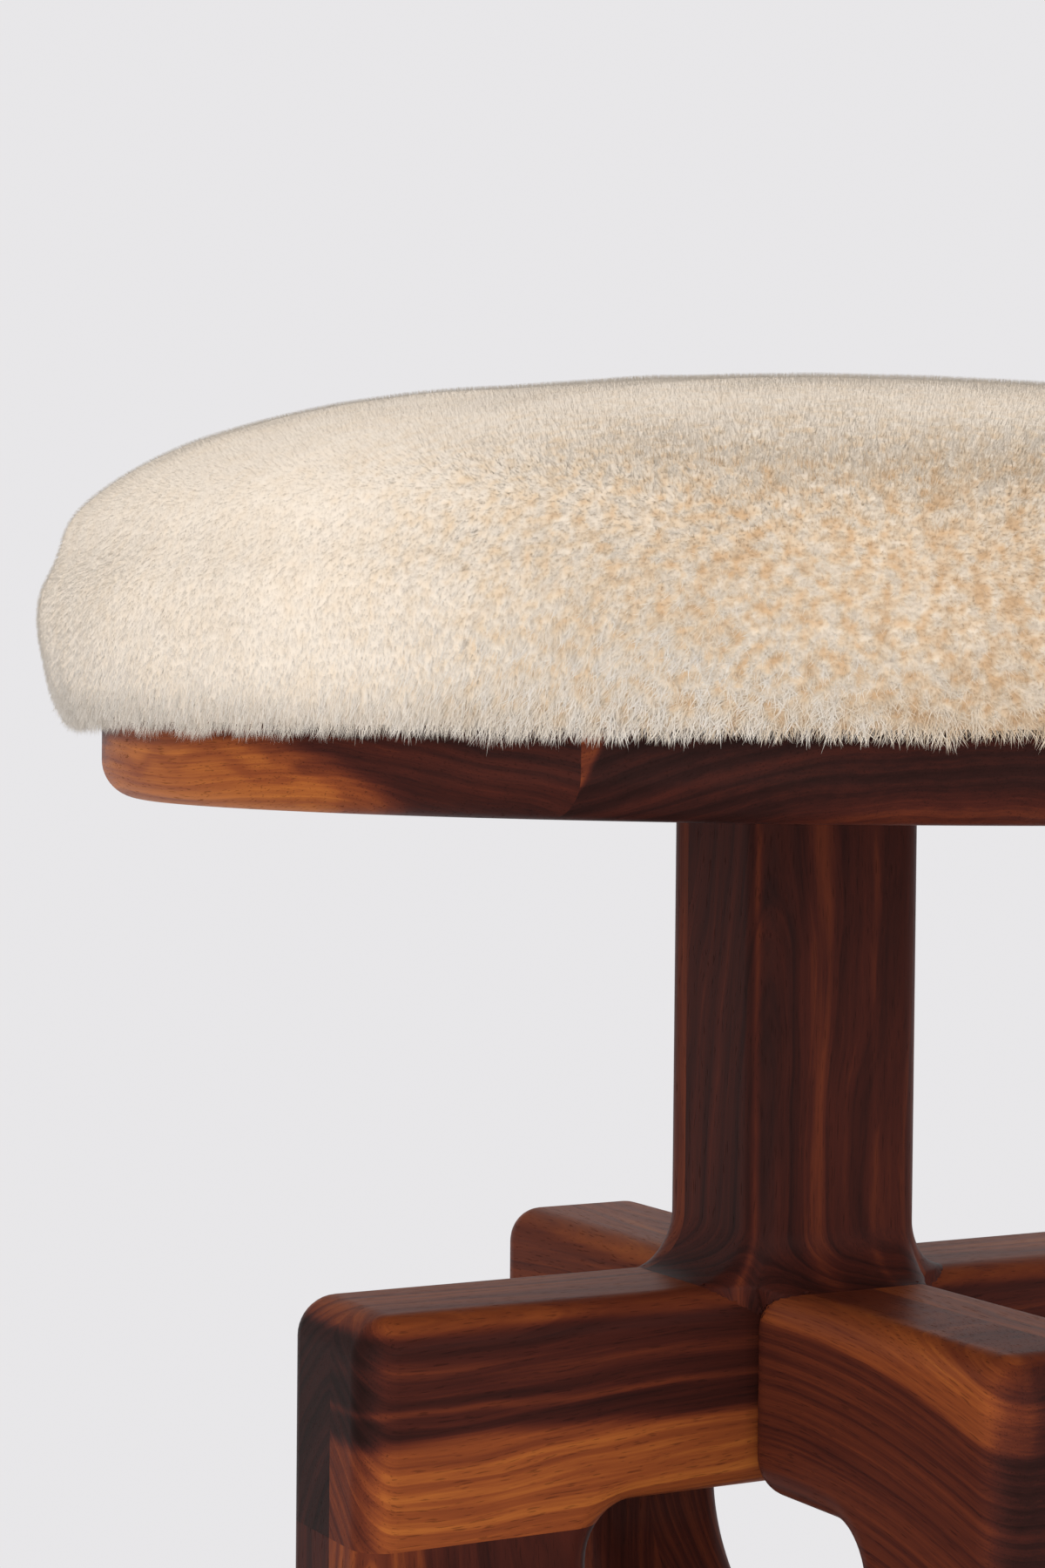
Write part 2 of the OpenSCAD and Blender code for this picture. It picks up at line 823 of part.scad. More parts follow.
module long_rail_front_board() color(walnut_mid) {
  long_rail_board(-arm_half);
}

module long_rail_back_board() color(walnut_dark) {
  long_rail_board(arm_half);
}

module front_rail_left_board() color(walnut_red) {
  short_rail_board("front", -front_left_w);
}

module front_rail_right_board() color(walnut_mid) {
  short_rail_board("front", arm_half);
}

module back_rail_left_board() color(walnut_red) {
  short_rail_board("back", back_left_w);
}

module back_rail_right_board() color(walnut_mid) {
  short_rail_board("back", -back_right_w);
}

module leg_dowels() color(beech) {
  leg_dowel_set();
}

module arm_dowels() color(beech) {
  cross_dowel_set(cross_dowel_z);
}

module rail_dowels() color(beech) {
  rail_dowel_set();
}

module rail_cross_dowels() color(beech) {
  cross_dowel_set(rail_middle_z);
}

module foot_glides() color("#2b2826") {
  for (side = ["left", "right", "front", "back"]) {
    faces = side_faces(side);
    middle = (faces[1] - faces[0]) / 2;
    towards(side) translate([side_reach(side) - foot_w / 2, middle, 0]) cylinder(d = glide_d, h = glide_t);
  }
}

sheepskin_cover();
foam_pad();
cushion_base();
cover_staples();
tee_nuts();
cushion_screws();
seat_board_1();
seat_board_2();
seat_board_3();
seat_board_4();
seat_board_5();
seat_plate();
plate_screws();
post_screws();
post_front_board();
post_back_board();
beam_front_board();
beam_back_board();
front_arm_left_board();
front_arm_right_board();
back_arm_left_board();
back_arm_right_board();
left_leg_front_board();
left_leg_back_board();
right_leg_front_board();
right_leg_back_board();
front_leg_left_board();
front_leg_right_board();
back_leg_left_board();
back_leg_right_board();
long_rail_front_board();
long_rail_back_board();
front_rail_left_board();
front_rail_right_board();
back_rail_left_board();
back_rail_right_board();
leg_dowels();
arm_dowels();
rail_dowels();
rail_cross_dowels();
foot_glides();
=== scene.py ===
import json
import math
from contextlib import contextmanager

import bmesh
import bpy
import numpy as np
from mathutils import Matrix, Vector, noise


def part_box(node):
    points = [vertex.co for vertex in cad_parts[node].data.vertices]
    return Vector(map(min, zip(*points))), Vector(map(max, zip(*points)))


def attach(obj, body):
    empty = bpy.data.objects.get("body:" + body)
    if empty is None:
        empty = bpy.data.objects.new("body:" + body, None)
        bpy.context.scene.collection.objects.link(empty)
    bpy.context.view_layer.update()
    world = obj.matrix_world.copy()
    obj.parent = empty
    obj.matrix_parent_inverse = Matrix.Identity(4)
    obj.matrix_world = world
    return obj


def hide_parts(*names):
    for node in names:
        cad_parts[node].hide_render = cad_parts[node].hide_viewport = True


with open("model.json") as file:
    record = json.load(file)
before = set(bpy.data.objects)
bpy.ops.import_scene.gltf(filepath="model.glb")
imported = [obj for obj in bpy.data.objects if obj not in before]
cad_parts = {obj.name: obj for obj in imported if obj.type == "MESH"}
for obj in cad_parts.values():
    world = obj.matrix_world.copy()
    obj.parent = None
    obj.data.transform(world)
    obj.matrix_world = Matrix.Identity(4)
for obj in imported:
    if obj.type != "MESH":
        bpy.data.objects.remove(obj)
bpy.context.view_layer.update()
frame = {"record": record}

# A tall stool: a sheepskin cushion on a walnut seat board, a square post and a cross of arms on
# four legs with lower rails. Metres, +Z up, the long beam along X, the front arm towards -Y.

ROOT = "root"
MM = 0.001
SLOTS = {part["node"]: part["material_slot"] for part in frame["record"]["subparts"]}


def low(node):
    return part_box(node)[0]


def high(node):
    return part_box(node)[1]


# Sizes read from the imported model

CROSS_TOP = high("beam_front_board").z
LEG_JOINT = low("beam_front_board").z
BEAM_GLUE = -high("beam_front_board").y
ARM_HALF = high("beam_back_board").y
LEG_FOOT = low("left_leg_front_board").z
RAIL_JOINT = high("long_rail_front_board").x
POST_GLUE = high("post_front_board").y
SEAT_Z = low("seat_board_3").z
SEAT_TOP = high("seat_board_3").z
SEAT_R = high("seat_board_3").y
SEAT_INNER_JOINT = high("seat_board_3").x
SEAT_OUTER_JOINT = high("seat_board_4").x
FLEECE_TOP = high("sheepskin_cover").z
FLEECE_R = high("sheepskin_cover").x

# The arm, leg and rail on each side: the turn from +X, the reach, the glue line, and the distances
# from the middle to the two faces, all in the frame of that side

SIDES = {
    "right": (0, high("beam_front_board").x, -BEAM_GLUE, (ARM_HALF, ARM_HALF)),
    "left": (180, -low("beam_front_board").x, BEAM_GLUE, (ARM_HALF, ARM_HALF)),
    "front": (
        270, -low("front_arm_left_board").y, 0.0,
        (-low("front_arm_left_board").x, high("front_arm_right_board").x),
    ),
    "back": (
        90, high("back_arm_left_board").y, 0.0,
        (high("back_arm_right_board").x, -low("back_arm_left_board").x),
    ),
}

# Sizes of the rounded wood that the boxes don't give

EASE = 8.5 * MM
CORNER_R = 10 * MM
POST_HALF = 25 * MM
POST_CORNER = 9.5 * MM
SEAT_ROUND = 9.5 * MM
SEAT_TOP_ROUND = 2 * MM
LEG_INNER = 70 * MM
LEG_FILLET = 13 * MM
LEG_JOINT_DROP = 4 * MM
FOOT_W = 42 * MM
BOWL_DROP = 21 * MM
BOWL_DEPTH = 47 * MM
RAIL_H = 44 * MM
ARCH_RISE = 47 * MM
PAST_JOINT = 18 * MM
JOINT_DIP = 1 * MM

ARM_UNDER = LEG_JOINT + LEG_JOINT_DROP
BOWL_Z = ARM_UNDER - BOWL_DROP
RAIL_TOP = BOWL_Z - BOWL_DEPTH
RAIL_UNDER = RAIL_TOP - RAIL_H
ARCH_Z = RAIL_UNDER - ARCH_RISE

EASE_STEPS = 10
CORNER_STEPS = 10
CURVE_STEPS = 24
SAME_PLACE = 0.001 * MM
CUT_GAP = 0.0001 * MM

# Meshes


def set_all(thing, **settings):
    """Sets several settings of one thing."""
    for name, setting in settings.items():
        setattr(thing, name, setting)


def add_modifier(piece, name, kind, **settings):
    added = piece.modifiers.new(name, kind)
    set_all(added, **settings)
    return added


def dress(piece, look):
    """Gives a piece one material and no other."""
    piece.data.materials.clear()
    piece.data.materials.append(look)


def new_object(name, verts, faces):
    mesh = bpy.data.meshes.new(name)
    mesh.from_pydata([tuple(v) for v in verts], [], [tuple(f) for f in faces])
    return linked(name, mesh)


def linked(name, mesh):
    piece = bpy.data.objects.new(name, mesh)
    bpy.context.scene.collection.objects.link(piece)
    return piece


def skin(name, rings, ends=None):
    """A closed solid through rings of as many points each. Its ends are flat, or faces over a ring's
    points in their order."""
    n = len(rings[0])
    last = (len(rings) - 1) * n
    ends = ends or [tuple(range(n))]
    faces = [end[::-1] for end in ends] + [tuple(last + i for i in end) for end in ends]
    for i in range(0, last, n):
        for k in range(n):
            j = (k + 1) % n
            faces.append((i + k, i + j, i + n + j, i + n + k))
    return new_object(name, [point for ring in rings for point in ring], faces)


def evaluated_mesh(piece):
    """The piece's mesh with its modifiers applied."""
    graph = bpy.context.evaluated_depsgraph_get()
    return bpy.data.meshes.new_from_object(piece.evaluated_get(graph), depsgraph=graph)


def turned(name, rings, sides):
    """A closed form of rings round Z. Each ring is a radius, or a radius for each angle, and a height."""
    circles = []
    for radius, z in rings:
        circles.append([])
        for k in range(sides):
            a = 2 * math.pi * k / sides
            r = radius(a) if callable(radius) else radius
            circles[-1].append((r * math.cos(a), r * math.sin(a), z))
    piece = skin(name, circles)
    with edited(piece) as bm:
        bmesh.ops.remove_doubles(bm, verts=bm.verts, dist=SAME_PLACE)
    return piece


def bake_modifiers(piece):
    mesh = evaluated_mesh(piece)
    piece.modifiers.clear()
    piece.data = mesh


@contextmanager
def edited(piece):
    """Opens a piece's mesh for cutting, then turns its faces outwards and closes it again."""
    bm = bmesh.new()
    bm.from_mesh(piece.data)
    yield bm
    bmesh.ops.recalc_face_normals(bm, faces=bm.faces)
    bm.to_mesh(piece.data)
    bm.free()


def cut(bm, point, normal):
    """Cuts off what lies past a plane, on the side its normal points to, and closes the cut."""
    geometry = bm.verts[:] + bm.edges[:] + bm.faces[:]
    found = bmesh.ops.bisect_plane(
        bm, geom=geometry, plane_co=point, plane_no=normal, clear_outer=True, dist=CUT_GAP
    )
    edges = [e for e in found["geom_cut"] if isinstance(e, bmesh.types.BMEdge) and e.is_boundary]
    if edges:
        bmesh.ops.edgeloop_fill(bm, edges=edges)


def soften(piece, angle=30):
    """Shades a piece smooth, with sharp edges only where faces meet at more than angle."""
    piece.data.shade_smooth()
    piece.data.set_sharp_from_angle(angle=math.radians(angle))
    add_modifier(piece, "flat faces stay flat", "WEIGHTED_NORMAL", keep_sharp=True)
    bake_modifiers(piece)
    return piece


# Node trees


class Value:
    """A number in a node tree. Sums, products and powers of it add Math nodes."""

    def __init__(self, tree, socket):
        self.tree = tree
        self.socket = socket


for word, operation in (
    ("add", "ADD"), ("sub", "SUBTRACT"), ("mul", "MULTIPLY"), ("truediv", "DIVIDE"), ("pow", "POWER"),
):
    setattr(Value, f"__{word}__", lambda a, b, how=operation: a.tree.math(how, a, b))
    setattr(Value, f"__r{word}__", lambda a, b, how=operation: a.tree.math(how, b, a))


class Tree:
    """A node tree under construction, of a material or of Geometry Nodes."""

    def __init__(self, tree):
        self.tree = tree

    def add(self, kind, settings=None, inputs=None):
        node = self.tree.nodes.new(kind)
        set_all(node, **(settings or {}))
        for key, given in (inputs or {}).items():
            socket = next(s for s in node.inputs if key in (s.identifier, s.name))
            self.feed(socket, given)
        return node

    def feed(self, socket, given):
        if isinstance(given, Value):
            given = given.socket
        if isinstance(given, bpy.types.NodeSocket):
            self.tree.links.new(given, socket)
        else:
            socket.default_value = given

    def value(self, node, output=0):
        return Value(self, node.outputs[output])

    def math(self, operation, *given):
        names = ("Value", "Value_001", "Value_002")
        node = self.add("ShaderNodeMath", {"operation": operation}, dict(zip(names, given)))
        return self.value(node)

    def vector(self, operation, *given, **inputs):
        inputs.update(zip(("Vector", "Vector_001", "Vector_002"), given))
        node = self.add("ShaderNodeVectorMath", {"operation": operation}, inputs)
        if operation == "DOT_PRODUCT":
            return self.value(node, "Value")
        return node.outputs["Vector"]

    def scaled(self, vector, factor):
        return self.vector("SCALE", vector, Scale=factor)

    def plus(self, start, *terms):
        """A vector with others added to it, each given with its factor."""
        for vector, factor in terms:
            start = self.vector("ADD", start, self.scaled(vector, factor))
        return start

    def point(self, x, y, z):
        return self.add("ShaderNodeCombineXYZ", inputs={"X": x, "Y": y, "Z": z}).outputs["Vector"]

    def parts(self, vector):
        node = self.add("ShaderNodeSeparateXYZ", inputs={"Vector": vector})
        return [self.value(node, i) for i in range(3)]

    def noise(self, place, size=1, detail=2, roughness=0.5, output=0):
        inputs = {"Vector": place, "Scale": 1 / size, "Detail": detail, "Roughness": roughness}
        return self.value(self.add("ShaderNodeTexNoise", inputs=inputs), output)

    def noise_vector(self, place, size=1, detail=1):
        return self.vector("SUBTRACT", self.noise(place, size, detail, output="Color"), (0.5, 0.5, 0.5))

    def random(self, seed):
        """A number from 0 to 1, another for each point."""
        node = self.add("FunctionNodeRandomValue", {"data_type": "FLOAT"}, {"Seed": seed})
        return self.value(node, 1)

    def geometry(self, kind, output, settings=None, **inputs):
        """One output of a Geometry node."""
        return self.add("GeometryNode" + kind, settings, inputs).outputs[output]

    def place(self, points, model, **inputs):
        """A model on each point."""
        model = self.geometry("ObjectInfo", "Geometry", Object=model)
        return self.geometry("InstanceOnPoints", "Instances", Points=points, Instance=model, **inputs)

    def give(self, placed, look):
        """Makes the tree give placed models as one mesh of one material."""
        plain = self.geometry("RealizeInstances", "Geometry", Geometry=placed)
        dressed = self.geometry("SetMaterial", "Geometry", Geometry=plain, Material=look)
        self.add("NodeGroupOutput", None, {"Geometry": dressed})

    def past(self, value, edge, soft):
        """0 below an edge and 1 above it, with a soft change of the given half width."""
        inputs = {"Value": value, "From Min": edge - soft, "From Max": edge + soft}
        return self.value(self.add("ShaderNodeMapRange", {"interpolation_type": "SMOOTHSTEP"}, inputs))

    def stripe(self, value, middle, half, soft):
        """1 within half of the middle, and 0 outside."""
        return self.past(value, middle - half, soft) * (1 - self.past(value, middle + half, soft))

    def ramp(self, value, stops):
        node = self.add("ShaderNodeValToRGB", inputs={"Fac": value})
        elements = node.color_ramp.elements
        while len(elements) < len(stops):
            elements.new(0.5)
        for element, (place, colour) in zip(elements, stops):
            element.position = place
            element.color = (*colour, 1)
        return node.outputs["Color"]

    def blend(self, factor, a, b):
        inputs = {"Factor_Float": factor, "A_Color": a, "B_Color": b}
        node = self.add("ShaderNodeMix", {"data_type": "RGBA"}, inputs)
        return next(s for s in node.outputs if s.identifier == "Result_Color")


def finish(**sockets):
    """Turns a function that adds nodes into one that makes a material of the name it is given. The
    function returns what varies over the surface, and the sockets given here are the same all over."""

    def of(build):
        def material_of(name, *facts, **more):
            material = bpy.data.materials.new(name)
            material.use_nodes = True
            shader = material.node_tree.nodes["Principled BSDF"]
            t = Tree(material.node_tree)
            for socket, given in {**sockets, **build(t, *facts, **more)}.items():
                t.feed(shader.inputs[socket], given)
            return material

        return material_of

    return of


def bump(t, height, distance, strength):
    inputs = {"Height": height, "Distance": distance, "Strength": strength}
    return t.add("ShaderNodeBump", inputs=inputs).outputs["Normal"]


def in_mm(t):
    """The place on the object in millimetres."""
    return t.scaled(t.add("ShaderNodeTexCoord").outputs["Object"], 1 / MM)


# Walnut, from dark heartwood to gold sapwood

WALNUT = (
    (0.0, (0.012, 0.0050, 0.0042)),
    (0.2, (0.026, 0.0085, 0.0070)),
    (0.4, (0.058, 0.0140, 0.0095)),
    (0.6, (0.125, 0.0280, 0.0125)),
    (0.8, (0.245, 0.0600, 0.0175)),
    (1.0, (0.450, 0.1380, 0.0280)),
)


class Grain:
    """Places in a board in mm: x, y and z on the stool, along the fibres, and out from the heart."""

    def __init__(self, t, axis, heart, seed, bent):
        self.t = t
        self.x, self.y, self.z = places = t.parts(in_mm(t))
        self.across = [p for i, p in enumerate(places) if i != axis]
        self.along = places[axis] + seed * 97
        slow, quick = [
            t.noise_vector(t.point(self.along / length, *[p / width for p in self.across]))
            for length, width in ((210, 90), (46, 17))
        ]
        sway, ripple = (3, 1.6) if bent else (26, 3.4)
        drift = t.parts(t.plus(t.scaled(slow, sway), (quick, ripple)))
        self.a, self.b = [p + d - h for p, d, h in zip(self.across, drift, heart)]
        if bent:
            # The rings bend round an axis along X, so the fibres run round it too
            reach, height = self.y - bent[0] + drift[0], self.z - bent[1] + drift[1]
            self.out = (reach * reach + height * height) ** 0.5
            self.along = t.math("ARCTAN2", reach, height) * 250
            self.a = self.x
        else:
            self.out = (self.a * self.a + self.b * self.b) ** 0.5

    def wave(self, length, size):
        """A slow bend of the given length and size along the board."""
        return (self.t.noise(self.t.point(self.along / length, 0, 0), detail=1) - 0.5) * (2 * size)


@finish(**{"Specular IOR Level": 0.03})
def walnut(t, axis, heart, tone, reach, seed, rings=3.6, bent=None):
    """Oiled walnut. axis is that of the fibres, and heart the middle of the growth rings in the two
    other axes, in mm. tone gives the wood's place on the walnut ramp, before its rings and fibres.
    reach is how far from the middle, in mm, a board ends in darker end grain. bent is the place in Y
    and Z round which bent fibres run."""
    g = Grain(t, axis, heart, seed, bent)
    base = tone(t, g)
    streaks = t.noise(t.point(g.out / 7.5, g.along / 420, seed), detail=3, roughness=0.6) - 0.5
    ring = t.math("FRACT", (g.out + g.wave(60, 1.2)) / rings)
    late = t.past(ring, 0.62, 0.3) * (1 - t.past(ring, 0.97, 0.03))
    fibre = t.noise(t.point(g.out / 0.55, g.along / 26, g.a / 3), detail=3, roughness=0.65)
    pore = t.noise(t.point(g.a / 0.36, g.along / 6, g.out / 0.32), detail=1)
    pore = t.past(pore, 0.66, 0.05)
    mottle = t.noise(t.point(g.along / 30, g.a / 9, g.b / 9), detail=2) - 0.5
    line = t.noise(t.point(g.out / 1.9, g.along / 300, seed + 4), detail=2, roughness=0.6) - 0.5
    if reach:
        base = base - t.past(t.math("ABSOLUTE", (g.x, g.y, g.z)[axis]), reach - 3, 3) * 0.26
    shade = base + streaks * 0.50 + line * 0.36 - late * 0.08 + (fibre - 0.5) * 0.26 + mottle * 0.10
    colour = t.blend(pore * 0.4, t.ramp(shade, WALNUT), (0.012, 0.005, 0.004, 1))
    relief = fibre * 0.4 - pore * 0.9 - late * 0.15
    return {
        "Base Color": colour,
        "Roughness": 0.40 + (fibre - 0.5) * 0.12 + pore * 0.2,
        "Normal": bump(t, relief, 0.00005, 0.6),
    }


# What each board shows: its place on the walnut ramp, from the dark heartwood at 0 to the gold
# sapwood at 1


def plain(level):
    return lambda t, g: g.wave(140, 0.05) + level


def seat_edge_board(t, g):
    """Gold sapwood at the outer edge, with a slanting border to brown and then to dark heartwood, and painted
    shadow of the fur along the top, over wood that is a little darker there.
    """
    slant = g.x + (g.z - 585) * 0.95
    brown = t.past(slant + g.wave(13, 3), -173, 1.8)
    dark = t.past(slant + g.wave(26, 3), -167, 3)
    swirl = t.stripe(g.z + g.wave(30, 9), 581, 0.6, 2.6)
    # Painted shadow under the overhanging fur, partly the wood's own darker tone there
    shade = t.past(g.z + g.wave(20, 1.5), 584.5, 1.5)
    return 0.92 - brown * 0.17 - dark * 0.42 - (swirl * 0.20 + shade * 0.14) * (1 - dark)


def seat_dark_board(t, g):
    """An orange strip along the joint that narrows downwards, then dark, with a red glow low down."""
    strip = 1 - t.past(g.x + 132 - (g.z - 577) * 0.33, 0, 0.7)
    glow = t.past(588 - g.z, 12, 5) * t.past(g.x, -92, 16)
    return 0.24 + strip * 0.42 + glow * 0.24


def painted_top_sheen(t, g):
    """How far up an arm its top's painted tan sheen has reached: painted light and reflection from above,
    over mid-brown wood.
    """
    return t.past(g.z + g.wave(90, 2), 445.5, 1.6)


def beam_front(t, g):
    """Dark with wavy orange lines, over a golden brown lower part, and a painted tan sheen on top."""
    line = t.stripe(g.z + g.wave(70, 4.5) + g.wave(17, 1), 427.5, 0.8, 1.2)
    second = t.stripe(g.z + g.wave(80, 4) + g.wave(19, 1), 437, 1.6, 2.2)
    lower = t.past(420.5 - g.z + g.wave(60, 3), 0, 2.5)
    return 0.36 + line * 0.26 + second * 0.14 + lower * 0.44 + painted_top_sheen(t, g) * 0.34


# A plain board whose top is painted tan for the sheen and light it takes from above
def top_lit(level):
    return lambda t, g: g.wave(140, 0.05) + level + painted_top_sheen(t, g) * (0.78 - level)


def front_arm(t, g):
    """An orange band along the upper edge that widens outwards, over reddish brown."""
    band = t.past(g.out + g.wave(30, 1.5), 262.7, 1.8) * (1 - t.past(g.x, -18, 2.5) * 0.6)
    return 0.50 + band * 0.26


def post_front(t, g):
    """A soft flame and two lines on the front face, and a thin orange line at the left corner."""
    flame = t.stripe(g.x + g.wave(70, 4) + g.wave(16, 0.8), -9.5, 2.5, 4.5)
    stripe = t.stripe(g.x + g.wave(60, 2), 8.5, 0.8, 1.6)
    edge = t.stripe(g.x + g.wave(80, 1), 23.5, 1.5, 2)
    corner = t.stripe(g.y - g.x * 0.2 + g.wave(90, 1), -15, 0.8, 1.2) * t.past(-1 * g.x, 20, 2)
    return 0.34 + flame * 0.24 + stripe * 0.14 + edge * 0.16 + corner * 0.24


def back_board_of_post(t, g):
    return 0.56 + g.wave(80, 0.08) - t.past(g.y, 19, 4) * 0.2


def left_leg(t, g):
    """Orange brown at the outer edge, darker inwards."""
    return 0.70 - t.past(g.x + g.wave(50, 5), -116, 10) * 0.36


X, Y, Z = 0, 1, 2

# Each board's fibres, heart in the two other axes and tone. A board that isn't named follows its kind.

BOARDS = {
    node: {"axis": axis, "heart": heart, "tone": tone, "seed": seed}
    for seed, (node, axis, heart, tone) in enumerate((
        ("seat_board_1", Y, (-178, 500), seat_edge_board),
        ("seat_board_2", Y, (-60, 470), seat_dark_board),
        ("seat_board_3", Y, (30, 510), plain(0.26)),
        ("seat_board_4", Y, (60, 540), plain(0.42)),
        ("seat_board_5", Y, (120, 520), plain(0.36)),
        ("post_front_board", Z, (40, 60), post_front),
        ("post_back_board", Z, (10, 70), back_board_of_post),
        ("beam_front_board", X, (60, 330), beam_front),
        ("beam_back_board", X, (-70, 360), top_lit(0.40)),
        ("front_arm_left_board", Y, (60, 300), front_arm),
        ("front_arm_right_board", Y, (-70, 340), top_lit(0.34)),
        ("back_arm_left_board", Y, (80, 330), top_lit(0.56)),
        ("back_arm_right_board", Y, (-60, 350), top_lit(0.36)),
        ("left_leg_front_board", Z, (-60, 70), left_leg),
    ), 1)
}
BOARDS["beam_front_board"]["rings"] = 4.4
BOARDS["front_arm_left_board"]["bent"] = (-40, 180)
BOARDS["front_leg_left_board"] = BOARDS["front_arm_left_board"]
KINDS = {"arm": (Y, (30, 340)), "leg": (Z, (30, 50)), "rail": (Y, (40, 200)), "long": (X, (50, 210))}


def wood_of(node):
    """The walnut of one board."""
    facts = BOARDS.get(node)
    if not facts:
        kind = "long" if node.startswith("long") else node.split("_")[1]
        seed = 20 + sorted(SLOTS).index(node)
        axis, heart = KINDS[kind]
        turn = 1 if seed % 2 else -1
        tone = plain(0.3 + 0.05 * (seed % 5))
        facts = {"axis": axis, "heart": (heart[0] * turn, heart[1]), "tone": tone, "seed": seed}
    reach = None
    if node.startswith("beam") or "_arm_" in node:
        reach = max(abs(side[facts["axis"]]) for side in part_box(node)) / MM
    return walnut("walnut_" + node, reach=reach, **facts)


# Side views of the boards, as ladders: rungs from a lower or inner point to an upper or outer one


def arc(centre, r, a0, a1, steps=CORNER_STEPS):
    angles = [math.radians(a0 + (a1 - a0) * i / steps) for i in range(steps + 1)]
    return [(centre[0] + r * math.cos(a), centre[1] + r * math.sin(a)) for a in angles]


ARCH = (ARCH_Z, ARCH_RISE, 1)
BOWL = (BOWL_Z, BOWL_DEPTH, -1)


def rail_curve(curve, t0, t1, inset, steps=CURVE_STEPS):
    """Points of the arch under or the bowl above the rails, between two turns round its middle, moved
    into the wood."""
    middle, depth, up = curve
    points = []
    for i in range(steps + 1):
        t = math.radians(t0 + (t1 - t0) * i / steps)
        normal = Vector((math.cos(t) / LEG_INNER, up * math.sin(t) / depth)).normalized()
        points.append((
            LEG_INNER * math.cos(t) + inset * normal.x,
            middle + up * depth * math.sin(t) + inset * normal.y,
        ))
    return points


def rail_turn(x):
    return math.degrees(math.acos(x / LEG_INNER))


def rail_slope(turn, depth):
    t = math.radians(turn)
    return math.degrees(math.atan(depth * math.cos(t) / (LEG_INNER * math.sin(t))))


def arm_end(reach, inset):
    """The outer half of an arm: the fillet, the part over the leg and the rounded end."""
    bottom = LEG_JOINT - PAST_JOINT
    centre = (LEG_INNER - LEG_FILLET, ARM_UNDER - LEG_FILLET)
    turn = math.degrees(math.asin((LEG_FILLET - LEG_JOINT_DROP - JOINT_DIP) / (LEG_FILLET + inset)))
    fillet = arc(centre, LEG_FILLET + inset, 90, turn)
    level = CROSS_TOP - inset
    past = fillet[-1][0] + JOINT_DIP
    corner = arc((reach - CORNER_R, CROSS_TOP - CORNER_R), CORNER_R - inset, 90, 0)
    return (
        [(p, (p[0], level)) for p in fillet]
        + [((past, bottom), (past, level))]
        + [((p[0], bottom), p) for p in corner]
    )


def beam_view(inset, _):
    left, right = arm_end(SIDES["left"][1], inset), arm_end(SIDES["right"][1], inset)
    return [((-a[0], a[1]), (-b[0], b[1])) for a, b in reversed(left)] + right


def arm_view(inset, reach):
    inner = ARM_HALF + CORNER_R
    start = zip(
        arc((inner, ARM_UNDER + CORNER_R), CORNER_R - inset, 180, 270),
        arc((inner, CROSS_TOP - CORNER_R), CORNER_R - inset, 180, 90),
    )
    return list(start) + arm_end(reach, inset)


def leg_view(inset, reach):
    turn = rail_turn(RAIL_JOINT - PAST_JOINT)
    centre = (LEG_INNER - LEG_FILLET, ARM_UNDER - LEG_FILLET)
    foot_in = reach - FOOT_W
    lean = (foot_in - LEG_INNER) / (ARCH_Z - LEG_FOOT)
    inner = [(foot_in + lean * (LEG_FOOT + PAST_JOINT) + inset, -PAST_JOINT)]
    inner += rail_curve(ARCH, 0, turn, inset)
    inner += rail_curve(BOWL, turn, 0, inset)
    inner += arc(centre, LEG_FILLET + inset, 0, 90)
    inner += [(centre[0], LEG_JOINT + PAST_JOINT)]
    return [(p, (reach - inset, p[1])) for p in inner]


def long_rail_view(inset, _):
    turn = rail_turn((LEG_INNER + RAIL_JOINT) / 2)
    under = rail_curve(ARCH, 180 - turn, turn, inset, 2 * CURVE_STEPS)
    upper = rail_curve(BOWL, 180 - turn, turn, inset, 2 * CURVE_STEPS)
    return list(zip(under, upper))


def short_rail_view(inset, _):
    turn = rail_turn((LEG_INNER + RAIL_JOINT) / 2)
    inner = ARM_HALF + CORNER_R
    inner_turn = rail_turn(inner)
    sine = math.sin(math.radians(inner_turn))
    upper_z = BOWL_Z - BOWL_DEPTH * sine - CORNER_R
    under_z = ARCH_Z + ARCH_RISE * sine + CORNER_R
    r = CORNER_R - inset
    under = arc((inner, under_z), r, 180, 270 + rail_slope(inner_turn, ARCH_RISE))
    under += rail_curve(ARCH, inner_turn, turn, inset)
    upper = arc((inner, upper_z), r, 180, 90 - rail_slope(inner_turn, BOWL_DEPTH))
    upper += rail_curve(BOWL, inner_turn, turn, inset)
    return list(zip(under, upper))


def eased_board(node, view, side, t0, t1, cuts):
    """A board that replaces a node: flat on its glue face at t0 and eased along its outer face
    at t1, turned towards a side and cut by planes given as (point, normal) before the turn."""
    way = 1 if t1 > t0 else -1
    steps = [(t0, 0)]
    for k in range(EASE_STEPS + 1):
        a = math.radians(90 * k / EASE_STEPS)
        steps.append((t1 - way * EASE * (1 - math.sin(a)), EASE * (1 - math.cos(a))))
    rings = []
    for y, inset in steps:
        lower, upper = zip(*view(inset, SIDES[side][1]))
        rings.append([(x, y, z) for x, z in lower + upper[::-1]])
    n = len(rings[0])
    ends = [(i, i + 1, n - 2 - i, n - 1 - i) for i in range(n // 2 - 1)]
    piece = skin(node.replace("_board", "_wood"), rings, ends)
    with edited(piece) as bm:
        bmesh.ops.remove_doubles(bm, verts=bm.verts, dist=SAME_PLACE)
        for point, normal in cuts:
            cut(bm, point, normal)
    piece.data.transform(Matrix.Rotation(math.radians(SIDES[side][0]), 4, "Z"))
    seated(soften(piece), node)


def stand_for(piece, node):
    """Makes a piece ride on the stool in place of a node."""
    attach(piece, ROOT)
    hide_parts(node)


def seated(piece, node):
    """Makes a piece of wood stand for its node, in its own walnut."""
    stand_for(piece, node)
    piece.data.materials.append(wood_of(node))


